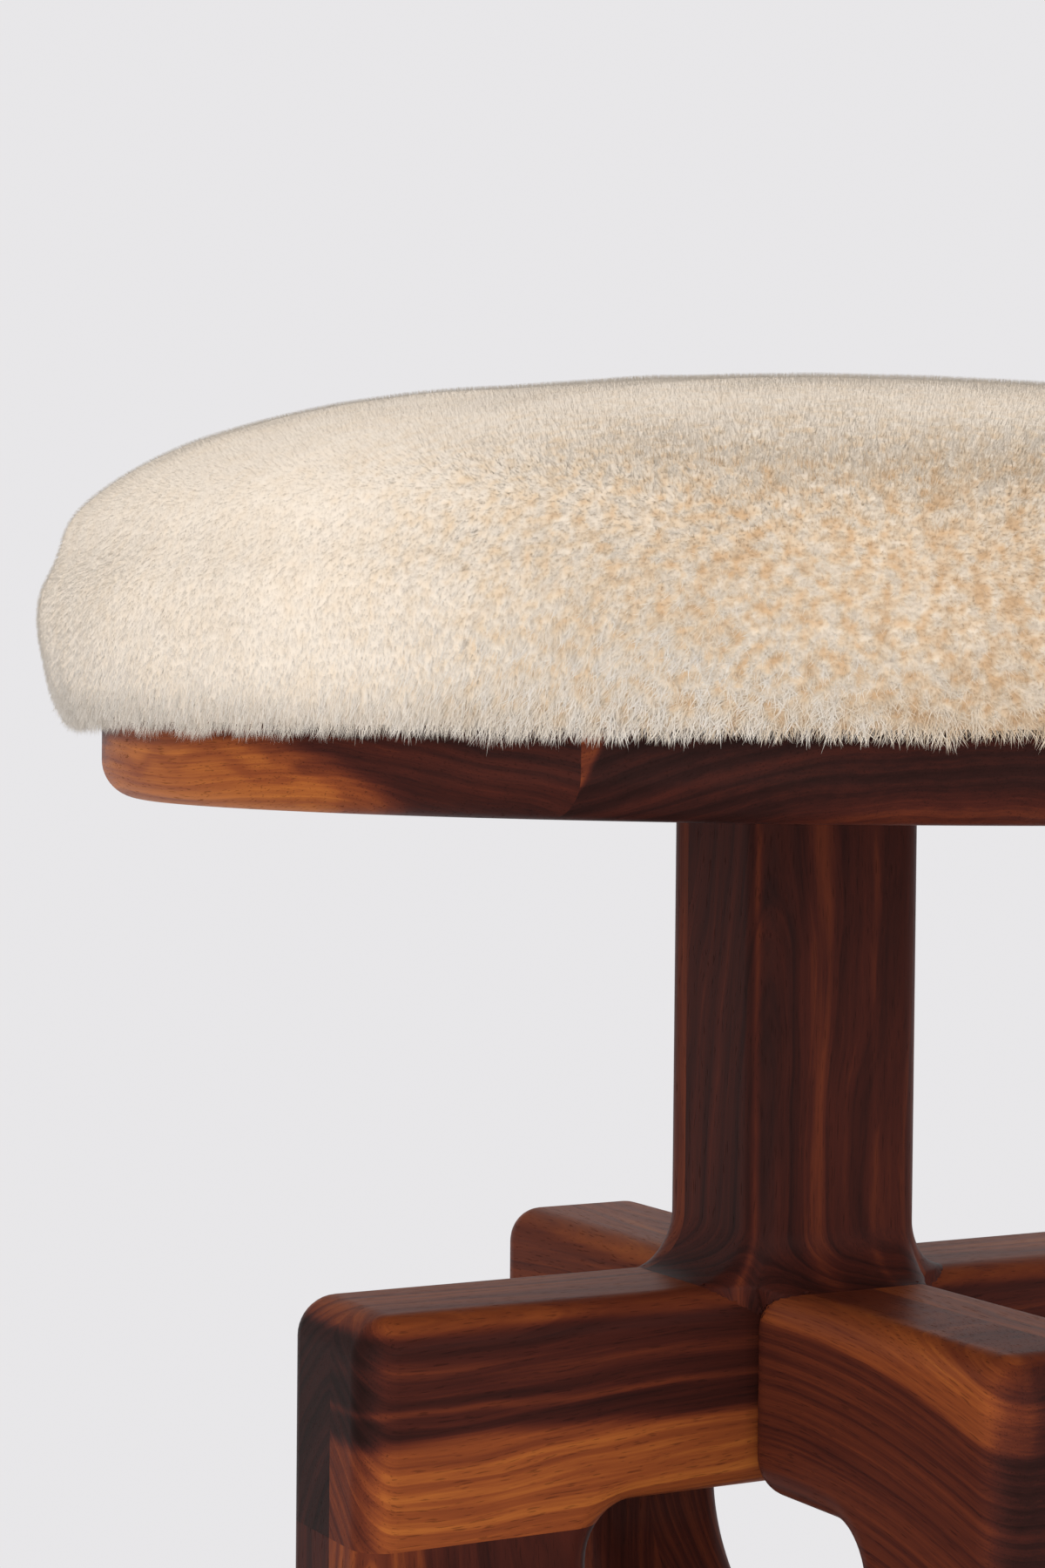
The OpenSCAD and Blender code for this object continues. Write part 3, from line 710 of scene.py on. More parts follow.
X_AXIS, Z_AXIS = Vector((1, 0, 0)), Vector((0, 0, 1))
TOP_OF_LEG = ((0, 0, LEG_JOINT), Z_AXIS)
UNDER_ARM = ((0, 0, LEG_JOINT), -Z_AXIS)
FOOT = ((0, 0, LEG_FOOT), -Z_AXIS)
RAIL_END = ((RAIL_JOINT, 0, 0), X_AXIS)
LEG_END = ((RAIL_JOINT, 0, 0), -X_AXIS)
OTHER_RAIL_END = ((-RAIL_JOINT, 0, 0), -X_AXIS)


def wooden_frame():
    """The boards of the beam, arms, legs and rails."""
    for face, outer in (("front", -ARM_HALF), ("back", ARM_HALF)):
        eased_board(f"beam_{face}_board", beam_view, "right", -BEAM_GLUE, outer, [UNDER_ARM])
        ends = [RAIL_END, OTHER_RAIL_END]
        eased_board(f"long_rail_{face}_board", long_rail_view, "right", -BEAM_GLUE, outer, ends)
    for side, hands in (
        ("front", ("left", "right")), ("back", ("right", "left")),
        ("right", ("front", "back")), ("left", ("back", "front")),
    ):
        glue, faces = SIDES[side][2:]
        parts = [("leg", leg_view, [TOP_OF_LEG, FOOT, LEG_END])]
        if side in ("front", "back"):
            parts = [("arm", arm_view, [UNDER_ARM]), ("rail", short_rail_view, [RAIL_END]), *parts]
        for hand, outer in zip(hands, (-faces[0], faces[1])):
            for part, view, cuts in parts:
                eased_board(f"{side}_{part}_{hand}_board", view, side, glue, outer, cuts)


# Seat board


SEAT_SIDES = 320
PLATE_ROUND = 8 * MM
HOLE_GAP = 0.1 * MM
HOLE_PAST = 1 * MM
BOLT_RECESS = 6 * MM


def plate_pocket():
    """The space that the seat plate takes, as a solid to cut with."""
    x, y = high("seat_plate").x + HOLE_GAP, high("seat_plate").y + HOLE_GAP
    r = PLATE_ROUND
    outline = []
    for i, (cx, cy) in enumerate(((x - r, y - r), (r - x, y - r), (r - x, r - y), (x - r, r - y))):
        outline += arc((cx, cy), r, 90 * i, 90 * i + 90)
    levels = (SEAT_Z - HOLE_PAST, high("seat_plate").z)
    return skin("plate_pocket", [[(*p, z) for p in outline] for z in levels])


def bolt_hole(x, y):
    """The bore and recess of a machine screw of the cushion, as a solid to cut with."""
    wide, narrow = BOLT_HEAD_R + HOLE_PAST, BOLT_R + HOLE_GAP
    step = SEAT_Z + BOLT_RECESS
    hole = turned("bolt_hole", [
        (0, SEAT_Z - HOLE_PAST), (wide, SEAT_Z - HOLE_PAST), (wide, step), (narrow, step),
        (narrow, SEAT_TOP + HOLE_PAST), (0, SEAT_TOP + HOLE_PAST),
    ], RING_SIDES)
    hole.data.transform(Matrix.Translation((x, y, 0)))
    return hole


def seat_boards():
    """The five boards of the round seat, cut from one turned disc, with the holes for its hardware."""
    cutters = [plate_pocket()]
    cutters += [bolt_hole(x, y) for x, y, _ in corners("cushion_screws", BOLT_HEAD_R)]
    profile = [(0, SEAT_Z)]
    profile += arc((SEAT_R - SEAT_ROUND, SEAT_Z + SEAT_ROUND), SEAT_ROUND, 270, 360, 12)
    profile += arc((SEAT_R - SEAT_TOP_ROUND, SEAT_TOP - SEAT_TOP_ROUND), SEAT_TOP_ROUND, 0, 90, 6)
    profile += [(0, SEAT_TOP)]
    edges = [-SEAT_R - MM, -SEAT_OUTER_JOINT, -SEAT_INNER_JOINT]
    edges += [-x for x in reversed(edges)]
    for i in range(5):
        piece = turned(f"seat_wood_{i + 1}", profile, SEAT_SIDES)
        with edited(piece) as bm:
            cut(bm, (edges[i], 0, 0), -X_AXIS)
            cut(bm, (edges[i + 1], 0, 0), X_AXIS)
        for cutter in cutters:
            add_modifier(piece, "hole", "BOOLEAN", object=cutter, solver="EXACT")
        bake_modifiers(piece)
        seated(soften(piece), f"seat_board_{i + 1}")
    for cutter in cutters:
        bpy.data.objects.remove(cutter)


# Post

COVE_R = 14.5 * MM
COVE_REACH = 13 * MM
COVE_SINK = 0.25 * MM
POST_STEP = 0.8 * MM
POST_TALL_STEP = 5 * MM
SETTLING_ROUNDS = 8


def rise(value, start, length):
    """0 up to a start and 1 from a length past it."""
    return np.clip((value - start) / length, 0, 1)


def rounded(past, r):
    """Distance to a form whose edges are rounded by r, from how far each point is past its sides
    moved in by r."""
    return np.linalg.norm(np.maximum(past, 0), axis=-1) + np.minimum(past.max(-1), 0) - r


def rounded_box(p, low_corner, high_corner, r):
    """Distance from the points to a box with rounded edges."""
    low_corner, high_corner = np.array(low_corner), np.array(high_corner)
    return rounded(np.abs(p - (low_corner + high_corner) / 2) - ((high_corner - low_corner) / 2 - r), r)


def fillet_union(a, b, r):
    """Union of two distances with a round fillet of radius r between them."""
    u = np.maximum(r - np.stack([a, b]), 0)
    return np.maximum(r, np.minimum(a, b)) - np.linalg.norm(u, axis=0)


def cross_distance(p):
    """Distance to the beam and the two arms that butt on it."""
    front, back = SIDES["front"], SIDES["back"]
    return np.minimum.reduce([
        rounded_box(p, (*near, ARM_UNDER), (*far, CROSS_TOP), EASE)
        for near, far in (
            ((-SIDES["left"][1], -ARM_HALF), (SIDES["right"][1], ARM_HALF)),
            ((-front[3][0], -front[1]), (front[3][1], -ARM_HALF)),
            ((-back[3][1], ARM_HALF), (back[3][0], back[1])),
        )
    ])


def post_distance(p):
    """Distance to the post, whose coves fade out where they leave the flat tops of the arms."""
    plan = rounded(np.abs(p[..., :2]) - (POST_HALF - POST_CORNER), POST_CORNER)
    column = np.maximum(np.maximum(plan, p[..., 2] - SEAT_Z), CROSS_TOP - EASE - p[..., 2])
    arms = cross_distance(p) + COVE_SINK
    fade = rise(p[..., 2], CROSS_TOP - EASE, EASE)
    cove = np.maximum(fillet_union(column, arms, COVE_R * fade + 0.2 * MM), plan - COVE_REACH)
    return np.maximum(cove, -arms - COVE_SINK)


def net_surface(distance, axes):
    """Quads over the zero level of a distance, drawn onto it, from samples on a grid."""
    shape = [len(axis) for axis in axes]
    grid = np.stack(np.meshgrid(*axes, indexing="ij"), -1)
    inside = distance(grid) < 0
    cells = np.zeros(np.array(shape) - 1, int)
    for x, y, z in np.ndindex(2, 2, 2):
        cells += inside[x:shape[0] - 1 + x, y:shape[1] - 1 + y, z:shape[2] - 1 + z]
    active = (cells > 0) & (cells < 8)
    index = np.full(active.shape, -1)
    index[active] = np.arange(active.sum())
    where = np.argwhere(active)
    middles = [(axis[1:] + axis[:-1]) / 2 for axis in axes]
    points = np.stack([middles[i][where[:, i]] for i in range(3)], -1)
    tiny = POST_STEP * 1e-3
    for _ in range(SETTLING_ROUNDS):
        value = distance(points)
        slope = np.stack([
            (distance(points + step) - distance(points - step)) / (2 * tiny) for step in tiny * np.eye(3)
        ], -1)
        length = np.maximum((slope ** 2).sum(-1), 0.25)
        move = -(value / length)[:, None] * slope
        size = np.maximum(np.linalg.norm(move, axis=1), 1e-12)
        points += move * np.minimum(1, 0.4 * POST_STEP / size)[:, None]
    quads = []
    for axis in range(3):
        a, b = [i for i in range(3) if i != axis]
        change = inside != np.roll(inside, -1, axis)
        for i, edge in ((axis, -1), (a, 0), (a, -1), (b, 0), (b, -1)):
            change[tuple(edge if k == i else slice(None) for k in range(3))] = False
        at = np.argwhere(change)
        ea, eb = np.eye(3, dtype=int)[a], np.eye(3, dtype=int)[b]
        quad = np.stack([index[tuple((at - s).T)] for s in (0 * ea, ea, ea + eb, eb)], 1)
        out = inside[tuple(at.T)] == (axis != 1)
        quad[~out] = quad[~out][:, ::-1]
        quads.append(quad)
    quads = np.concatenate(quads)
    return points, quads[(quads >= 0).all(1)]


def post_boards():
    """The post's two boards, with the coves that run its foot into the arms."""
    reach = POST_HALF + COVE_REACH + 3 * POST_STEP
    across = np.arange(-reach, reach, POST_STEP)
    bottom = CROSS_TOP - EASE - 3 * POST_STEP
    foot_top = CROSS_TOP + COVE_R + 2 * POST_STEP
    levels = np.concatenate([
        np.arange(bottom, foot_top, POST_STEP),
        np.arange(foot_top + POST_TALL_STEP, SEAT_Z - 2 * MM, POST_TALL_STEP),
        SEAT_Z + np.array([-0.8, -0.2, 0.2, 0.8]) * MM,
    ])
    points, quads = net_surface(post_distance, (across, across, levels))
    for node, normal in (("post_front_board", (0, 1, 0)), ("post_back_board", (0, -1, 0))):
        piece = new_object(node.replace("_board", "_wood"), points, quads)
        with edited(piece) as bm:
            cut(bm, (0, POST_GLUE, 0), Vector(normal))
        seated(soften(piece, 50), node)


# Cushion

BELLY_Z = SEAT_TOP + 15 * MM
CROWN_SHARE = 2.8
CROWN_STEPS = 36
SIDE_STEPS = 5
HIDE_INSET = 3.6 * MM
PAD_REST = 0.3 * MM
PAD_SIDES = 96
PAD_NET = 4.2 * MM
PAD_PRESSURE = 4
PAD_FRAMES = 20
PAD_LIFT = 1 * MM
HIDE_DROP = 7.5 * MM
VELVET_LIFT = 4.5 * MM


def pad_profile(inset):
    """The hide's outline, from the seat up to the crown, inset from the tips of the pile."""
    radius = FLEECE_R - inset
    foot = SEAT_TOP + PAD_REST
    points = [(0, foot)]
    edge, side = SEAT_R - 2 * MM, radius - 2.5 * MM
    for i in range(SIDE_STEPS + 1):
        a = math.radians(90 * i / SIDE_STEPS)
        points.append((edge + (side - edge) * math.sin(a), foot + 4 * MM * (1 - math.cos(a))))
    points.append((radius, BELLY_Z))
    for i in range(1, CROWN_STEPS):
        a = math.radians(90 * (1 - i / CROWN_STEPS))
        points.append((
            radius * math.sin(a) ** (2 / CROWN_SHARE),
            BELLY_Z + (FLEECE_TOP - BELLY_Z - inset) * math.cos(a) ** (2 / CROWN_SHARE),
        ))
    points.append((0, FLEECE_TOP - inset))
    return points


def velvet_share(points):
    """How smooth and short the pile is: 1 at the left and on top, 0 at the right."""
    x, y, z = points.T / MM
    side = rise(y * 0.62 - x * 0.78, -10, 110)
    side *= 1 - 0.6 * np.exp(-((z - 629) / 7) ** 2)
    return np.maximum(side, rise(z, 647, 18) * 0.6) * rise(z, SEAT_TOP / MM - 1, 7)


def puffed(piece, points):
    """The points after the cloth simulation has puffed the piece up, none moved past PAD_LIFT, and
    its underside kept flat."""
    cloth = add_modifier(piece, "stuffing", "CLOTH").settings
    set_all(cloth, use_pressure=True, uniform_pressure_force=PAD_PRESSURE, bending_stiffness=2)
    set_all(cloth, tension_stiffness=30, compression_stiffness=30)
    cloth.effector_weights.gravity = 0
    for step in range(1, PAD_FRAMES + 1):
        bpy.context.scene.frame_set(step)
    move = np.array([v.co for v in evaluated_mesh(piece).vertices]) - points
    piece.modifiers.clear()
    bpy.context.scene.frame_set(1)
    size = np.maximum(np.linalg.norm(move, axis=1), 1e-9)
    move *= np.minimum(1, PAD_LIFT / size)[:, None]
    return points + move * rise(points[:, 2], SEAT_TOP + 1 * MM, 6 * MM)[:, None]


def sheepskin_hide():
    """The stuffed hide, with soft lumps, hanging over the seat's edge."""
    pad = turned("sheepskin_hide", pad_profile(HIDE_INSET), PAD_SIDES)
    add_modifier(pad, "even net", "REMESH", mode="VOXEL", voxel_size=PAD_NET)
    bake_modifiers(pad)
    points = np.array([v.co for v in pad.data.vertices])
    points = puffed(pad, points)
    lumps = np.array([
        noise.noise(Vector(p) * 26) * 1.1 + noise.noise(Vector(p) * 70 + Vector((5, 0, 0))) * 0.5
        for p in points
    ]) * MM
    lift = rise(points[:, 2], SEAT_TOP + 4 * MM, 12 * MM) * lumps + velvet_share(points) * VELVET_LIFT
    outward = points - np.array((0, 0, SEAT_TOP))
    points = points + outward * (lift / np.linalg.norm(outward, axis=1))[:, None]
    past_rim = rise(np.hypot(points[:, 0], points[:, 1]), SEAT_R + 0.8 * MM, 3 * MM)
    points[:, 2] -= HIDE_DROP * past_rim * rise(-points[:, 2], -SEAT_TOP - 11 * MM, 11 * MM)
    pad.data.vertices.foreach_set("co", points.ravel())
    add_modifier(pad, "smooth net", "SUBSURF", levels=1, render_levels=1)
    bake_modifiers(pad)
    pad.data.shade_smooth()
    dress(pad, hide_finish("wool_nap"))
    stand_for(pad, "sheepskin_cover")
    return pad


# Fleece

SECTORS = 10
STRANDS_PER_M2 = 2.1e6
STRAND_LENGTH = 4 * MM
STRAND_THICKNESS = 0.3 * MM

# The size of the wool's clumps, and the step that their slope is taken over, in mm

CLUMP = 2.7
CLUMP_STEP = 0.35


def wool_strand():
    """One fibre of wool, 1 high and 1 thick at its root, with its place from root to tip."""
    verts = [(0.5, 0, 0), (-0.25, 0.43, 0), (-0.25, -0.43, 0), (0, 0, 1)]
    strand = new_object("wool_strand", verts, [(0, 2, 1), (0, 1, 3), (1, 2, 3), (2, 0, 3)])
    along = strand.data.attributes.new("along", "FLOAT", "POINT")
    along.data.foreach_set("value", [v[2] for v in verts])
    return strand


def geometry_tree(name, sockets):
    """A Geometry Nodes tree with the given inputs, and their identifiers by name."""
    tree = bpy.data.node_groups.new(name, "GeometryNodeTree")
    face = tree.interface
    named = {}
    for label, kind in sockets.items():
        socket = face.new_socket(label, in_out="INPUT", socket_type="NodeSocket" + kind)
        named[label] = socket.identifier
    face.new_socket("Geometry", in_out="OUTPUT", socket_type="NodeSocketGeometry")
    return Tree(tree), named


def curls(t, x, y, z):
    """How curly the wool is: fully at the right, not at the left, and little near the top."""
    return t.past(x * 0.78 - y * 0.62, -45, 55) * (1 - t.past(z, 651, 11) * 0.9)


def tan_and_painted_shade(t, x, y, z):
    """How tan the wool is, most at the right and less near the top: partly the wool's own tan, partly painted
    shade on the right, which is turned from the light.
    """
    return t.past(x * 0.8 - y * 0.45, 10, 150) * (1 - t.past(z, 642, 14) * 0.8)


def clumps(t, place):
    """The wool's clumps, as a noise over a place in mm."""
    return t.noise(place, CLUMP, detail=1, roughness=0.4)


def fleece_tree(wool):
    """Geometry Nodes that grow locks of wool on a hide, between two angles round its middle."""
    t, named = geometry_tree("fleece", {
        "Geometry": "Geometry", "Strand": "Object", "First angle": "Float", "Last angle": "Float",
    })
    given = t.add("NodeGroupInput").outputs
    mm = t.scaled(t.geometry("InputPosition", "Position"), 1 / MM)
    x, y, z = t.parts(mm)
    turn = t.math("ARCTAN2", y, x)
    sector = t.math("LESS_THAN", turn, given["Last angle"]) - t.math("LESS_THAN", turn, given["First angle"])
    radius = (x * x + y * y) ** 0.5
    rests = t.math("LESS_THAN", z, SEAT_TOP / MM + 1.2) * t.math("LESS_THAN", radius, SEAT_R / MM + 0.5)
    normal = t.geometry("InputNormal", "Normal")
    below = t.math("LESS_THAN", t.vector("DOT_PRODUCT", normal, (0, 0, 1)), -0.93)

    # How the wool lies: curly in the middle and at the right, combed at the lower left, and a skirt
    # of loose locks round the foot
    combed = t.past(x * -0.86 + y * -0.3 - z * 0.55 + 345, 142, 26) * t.past(645 - z, 0, 22)
    curly = curls(t, x, y, z)
    tufted = 0.08 + combed * 0.2 + curly * 0.92
    skirt = t.past(SEAT_TOP / MM + 2 - z, 0, 8)
    velvet = 1 - t.math("MINIMUM", tufted + skirt * 0.6, 1)
    scatter = t.add("GeometryNodeDistributePointsOnFaces", {"distribute_method": "RANDOM"}, {
        "Mesh": given["Geometry"], "Selection": t.math("GREATER_THAN", sector - rests - below, 0.5),
        "Density": STRANDS_PER_M2 * (1 - velvet * 0.15 + skirt * 0.8), "Seed": 7,
    })
    nap = scatter.outputs["Normal"]

    # Which way each lock leans: down, and by the swirls, curls and clumps round it
    down = t.plus((0, 0, -1), (nap, t.vector("DOT_PRODUCT", nap, (0, 0, 1))))
    swirl = t.noise_vector(mm, 24)
    curl = t.noise_vector(mm, 2.6, detail=2)
    ridge = clumps(t, mm)
    steps = (CLUMP_STEP, 0, 0), (0, CLUMP_STEP, 0), (0, 0, CLUMP_STEP)
    slope = t.point(*[clumps(t, t.vector("ADD", mm, step)) - ridge for step in steps])
    jitter = t.add("FunctionNodeRandomValue", {"data_type": "FLOAT_VECTOR"}, {
        "Min": (-1, -1, -1), "Max": (1, 1, 1), "Seed": 5,
    }).outputs["Value"]
    lean = t.plus(
        t.scaled(down, 1 - curly * 0.85 + combed * 0.05 + skirt * 0.1),
        (swirl, 0.3), (curl, 0.10 + curly * 0.9), (slope, 1 + combed * 2 + curly * 3),
        ((-0.35, -0.15, -0.20), combed), (jitter, 0.20 + curly * 0.16 + skirt * 0.35),
    )
    lean = t.vector("SUBTRACT", lean, t.scaled(nap, t.vector("DOT_PRODUCT", nap, lean)))
    spin = t.random(4)
    facing = t.add("FunctionNodeAlignRotationToVector", {"axis": "Z"}, {"Vector": t.vector("ADD", nap, lean)})
    rolled = t.add("FunctionNodeAxisAngleToRotation", None, {"Axis": (0, 0, 1), "Angle": spin * math.tau})
    facing = t.add("FunctionNodeRotateRotation", {"rotation_space": "LOCAL"}, {
        "Rotation": facing.outputs["Rotation"], "Rotate By": rolled.outputs["Rotation"],
    }).outputs["Rotation"]

    # How long and thick it is
    patch = t.noise(mm, 17, detail=2)
    tuft = t.noise(mm, 5.5, detail=1)
    uneven = (ridge - 0.5) * tufted
    length = 0.82 + t.random(3) * 0.20 + uneven * 0.8 + (patch - 0.5) * 0.3 + combed * 0.2
    length = STRAND_LENGTH * (1 - velvet * 0.76) * length
    length = length * (0.95 + skirt * ((patch - 0.45) * 0.9 + (tuft - 0.5) * 1))
    thick = STRAND_THICKNESS * (0.75 + spin * 0.5) * (0.17 + curly * 0.53 + combed * 0.15 + skirt * 0.11)
    size = t.point(thick, thick, length)
    locks = t.place(scatter.outputs["Points"], given["Strand"], Rotation=facing, Scale=size)

    # What the wool's finish and shading read from it
    aside = t.point(x / radius, y / radius, 0.2)
    # Whiter where the wool is combed, and painted lighter low on the combed skirt, where the strands above
    # shade it
    bleached = combed * (0.4 + t.past(SEAT_TOP / MM + 15 - z, 0, 12) * 0.9)
    for name, kind, what in (
        ("nap", "FLOAT_VECTOR", t.plus(t.scaled(nap, 1 - skirt), (aside, skirt))),
        ("tuft", "FLOAT", uneven), ("velvet", "FLOAT", velvet), ("bleached", "FLOAT", bleached),
    ):
        settings = {"data_type": kind, "domain": "INSTANCE"}
        locks = t.geometry("StoreNamedAttribute", "Geometry", settings, Geometry=locks, Name=name, Value=what)
    t.give(locks, wool)
    return t.tree, named


def run_nodes(piece, tree, named, given):
    """Applies a Geometry Nodes tree to a piece, with its inputs given by name."""
    nodes = add_modifier(piece, "nodes", "NODES", node_group=tree)
    for name, what in given.items():
        nodes[named[name]] = what
    bake_modifiers(piece)


def fleece(hide):
    """The pile, in sectors that each stay a plain mesh."""
    strand = wool_strand()
    wool = wool_finish("sheared_wool")
    strand.data.materials.append(wool)
    tree, named = fleece_tree(wool)
    for i in range(SECTORS):
        first = -math.pi + 2 * math.pi * i / SECTORS
        piece = linked(f"fleece_{i + 1}", hide.data.copy())
        last = first + 2 * math.pi / SECTORS
        run_nodes(piece, tree, named, {"Strand": strand, "First angle": first, "Last angle": last})
        soften_wool(piece.data)
        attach(piece, ROOT)
    bpy.data.objects.remove(strand)


def soften_wool(mesh):
    """Shades the fibres by the hide they stand on, so that the pile looks soft."""
    nap = np.empty(len(mesh.vertices) * 3)
    mesh.attributes["nap"].data.foreach_get("vector", nap)
    nap = nap.reshape(-1, 3)
    mesh.shade_smooth()
    mesh.normals_split_custom_set_from_vertices(nap / np.linalg.norm(nap, axis=1)[:, None])


# From the deep wool between the curls to bleached tips

WOOL = (
    (0.0, (0.68, 0.48, 0.30)), (0.35, (0.81, 0.66, 0.49)), (0.62, (0.87, 0.77, 0.645)),
    (1.0, (0.93, 0.87, 0.79)),
)
MATT = {"Roughness": 1, "Specular IOR Level": 0}


@finish(**MATT)
def wool_finish(t):
    """Cream wool, tan and warm between the curls, whiter where it is combed. It is painted lighter low on the
    combed skirt, and darker and tanner towards the right, partly as painted shade.
    """

    def carried(name):
        return t.value(t.add("ShaderNodeAttribute", {"attribute_name": name}), "Fac")

    place = in_mm(t)
    patch = t.noise(place, 14, detail=3)
    warm = tan_and_painted_shade(t, *t.parts(place))
    velvet, bleached = carried("velvet"), carried("bleached")
    depth = (0.36 + carried("along") * 0.32) * (1 - velvet) + velvet * 0.64
    # warm darkens the wool towards the right: tan wool, partly painted shade
    depth = depth + carried("tuft") * 1.5 + (patch - 0.5) * 0.25 - warm * 0.34
    depth = t.math("MINIMUM", depth, 0.62 + bleached * 0.2 - warm * 0.12) + bleached * 0.22
    return {"Base Color": t.ramp(depth, WOOL)}


@finish(**MATT)
def hide_finish(t):
    """The dense wool next to the hide, in the same curls as the fibres that stand on it."""
    place = in_mm(t)
    x, y, z = t.parts(place)
    curly, warm = curls(t, x, y, z), tan_and_painted_shade(t, x, y, z)
    ridge = clumps(t, place) - 0.5
    curl = t.noise(place, 1.3, detail=2) - 0.5
    patch = t.noise(place, 14, detail=3) - 0.5
    tufted = 0.12 + curly * 0.88
    depth = 0.60 - curly * 0.06 + ridge * tufted * 1.8 + curl * tufted * 0.4 + patch * 0.25
    # warm darkens the wool towards the right: tan wool, partly painted shade
    colour = t.ramp(t.math("MINIMUM", depth - warm * 0.34, 0.64 - warm * 0.12), WOOL)
    relief = (ridge * 1.3 + curl * 0.5) * tufted + curl * 0.12
    return {"Base Color": colour, "Normal": bump(t, relief, 0.0009, 0.8)}


# Hardware

SCREW_HEAD_R = 4.75 * MM
SCREW_HEAD_H = 2.8 * MM
SCREW_R = 2.5 * MM
BOLT_HEAD_R = 6 * MM
BOLT_HEAD_H = 3.6 * MM
BOLT_R = 3 * MM
GLIDE_R = 12 * MM
GLIDE_T = 3 * MM
RING_SIDES = 48


def star_socket(a):
    return (1.75 + 0.34 * math.cos(6 * a)) * MM


def hexagon_socket(a):
    return 2 * MM / math.cos((a + math.pi / 6) % (math.pi / 3) - math.pi / 6)


def placing_tree():
    """Geometry Nodes that put one model on each point, each turned by its own angle."""
    t, named = geometry_tree("placing", {
        "Points": "Geometry", "Model": "Object", "Finish": "Material", "Seed": "Int",
    })
    given = t.add("NodeGroupInput").outputs
    turn = t.point(0, 0, t.random(given["Seed"]) * math.tau)
    t.give(t.place(given["Points"], given["Model"], Rotation=turn), given["Finish"])
    return t.tree, named


def corners(node, edge):
    """Four places under the corners of a node's box, an edge in from its sides."""
    x, y = high(node).x - edge, high(node).y - edge
    return [(x * i, y * j, low(node).z) for i in (1, -1) for j in (1, -1)]


@finish(Metallic=1)
def metal(t, colour, roughness, brushed):
    """Plated metal with fine scratches, or brushed along X."""
    place = in_mm(t)
    x, y, z = t.parts(place)
    length = 60 if brushed else 1.4
    fine = t.noise(t.point(x / length, y / 0.35, z / 0.8), detail=3) - 0.5
    cloud = t.noise(place, 9, detail=2) - 0.5
    tint = t.ramp(cloud + 0.5, ((0.3, [c * 0.82 for c in colour]), (0.7, colour)))
    return {
        "Base Color": tint,
        "Roughness": fine * 0.25 + cloud * 0.12 + roughness,
        "Normal": bump(t, fine, 0.00004, 0.5),
    }


@finish()
def grained(t, light, dark, coarse, roughness=0.7):
    """A plain material with a soft grain of the given size in mm."""
    grain = t.noise(in_mm(t), coarse, detail=4)
    return {
        "Base Color": t.ramp(grain, ((0.3, dark), (0.7, light))),
        "Roughness": (grain - 0.5) * 0.2 + roughness,
        "Normal": bump(t, grain, 0.00008, 0.5),
    }


@finish(Roughness=0.7)
def plies(t):
    """Birch plies in turn across and along, seen as bands on the edge."""
    x, y, z = t.parts(in_mm(t))
    band = t.past(t.math("FRACT", z / 3), 0.5, 0.06)
    fibre = t.noise(t.point(x / 0.7, y / 22, z / 0.5), detail=3)
    shade = band * 0.45 + fibre * 0.5
    return {
        "Base Color": t.ramp(shade, ((0.1, (0.45, 0.29, 0.15)), (0.8, (0.74, 0.57, 0.36)))),
        "Normal": bump(t, fibre, 0.00006, 0.5),
    }


def hardware():
    """The screws and glides modelled again, and better materials for the parts that keep their shape."""
    zinc = metal("zinc_plate", (0.62, 0.60, 0.55), 0.34, False)
    steel = metal("brushed_steel", (0.46, 0.46, 0.47), 0.38, True)
    glide = grained("glide_plastic", (0.035, 0.032, 0.028), (0.02, 0.018, 0.016), 0.5, 0.5)
    tree, named = placing_tree()
    screw_top, bolt_top = [high(node).z - low(node).z for node in ("plate_screws", "cushion_screws")]
    screw = turned("countersunk_screw", [
        (star_socket, 1.6 * MM), (star_socket, 0.15 * MM), (SCREW_HEAD_R - 0.15 * MM, 0),
        (SCREW_HEAD_R, 0.1 * MM), (SCREW_R, SCREW_HEAD_H), (SCREW_R, screw_top - MM), (0.8 * MM, screw_top),
    ], RING_SIDES)
    bolt = turned("machine_screw", [
        (hexagon_socket, 2 * MM), (hexagon_socket, 0.2 * MM), (3.2 * MM, 0), (5 * MM, 0.5 * MM),
        (BOLT_HEAD_R, 1.8 * MM), (BOLT_HEAD_R, BOLT_HEAD_H), (BOLT_R, BOLT_HEAD_H), (BOLT_R, bolt_top),
    ], RING_SIDES)
    foot = turned("glide", [
        (GLIDE_R - 4 * MM, 0), (GLIDE_R - 1.2 * MM, 0.1 * MM), (GLIDE_R - 0.3 * MM, 0.5 * MM),
        (GLIDE_R, 1.2 * MM), (GLIDE_R, GLIDE_T),
    ], RING_SIDES)
    feet = []
    for turn, reach, _, faces in SIDES.values():
        spot = Vector((reach - FOOT_W / 2, (faces[1] - faces[0]) / 2, 0))
        feet.append(Matrix.Rotation(math.radians(turn), 3, "Z") @ spot)
    for seed, (node, model, places, look) in enumerate((
        ("plate_screws", screw, corners("plate_screws", SCREW_HEAD_R), zinc),
        ("cushion_screws", bolt, corners("cushion_screws", BOLT_HEAD_R), zinc),
        ("foot_glides", foot, feet, glide),
    ), 1):
        piece = new_object(node + "_detailed", places, [])
        dress(soften(model), look)
        run_nodes(piece, tree, named, {"Model": model, "Finish": look, "Seed": seed})
        stand_for(piece, node)
        bpy.data.objects.remove(model)

    beech = grained("beech", (0.66, 0.49, 0.31), (0.55, 0.39, 0.24), 0.9)
    foam = grained("upholstery_foam", (0.86, 0.80, 0.55), (0.76, 0.69, 0.45), 1.1, 0.95)
    kept = {
        "seat_plate": steel, "post_screws": zinc, "tee_nuts": zinc, "cover_staples": steel,
        "cushion_base": plies("birch_plies"), "foam_pad": foam,
        "leg_dowels": beech, "arm_dowels": beech, "rail_dowels": beech, "rail_cross_dowels": beech,
    }
    for node, look in kept.items():
        dress(bpy.data.objects[node], look)


wooden_frame()
seat_boards()
post_boards()
fleece(sheepskin_hide())
hardware()


# Camera, floor and lights

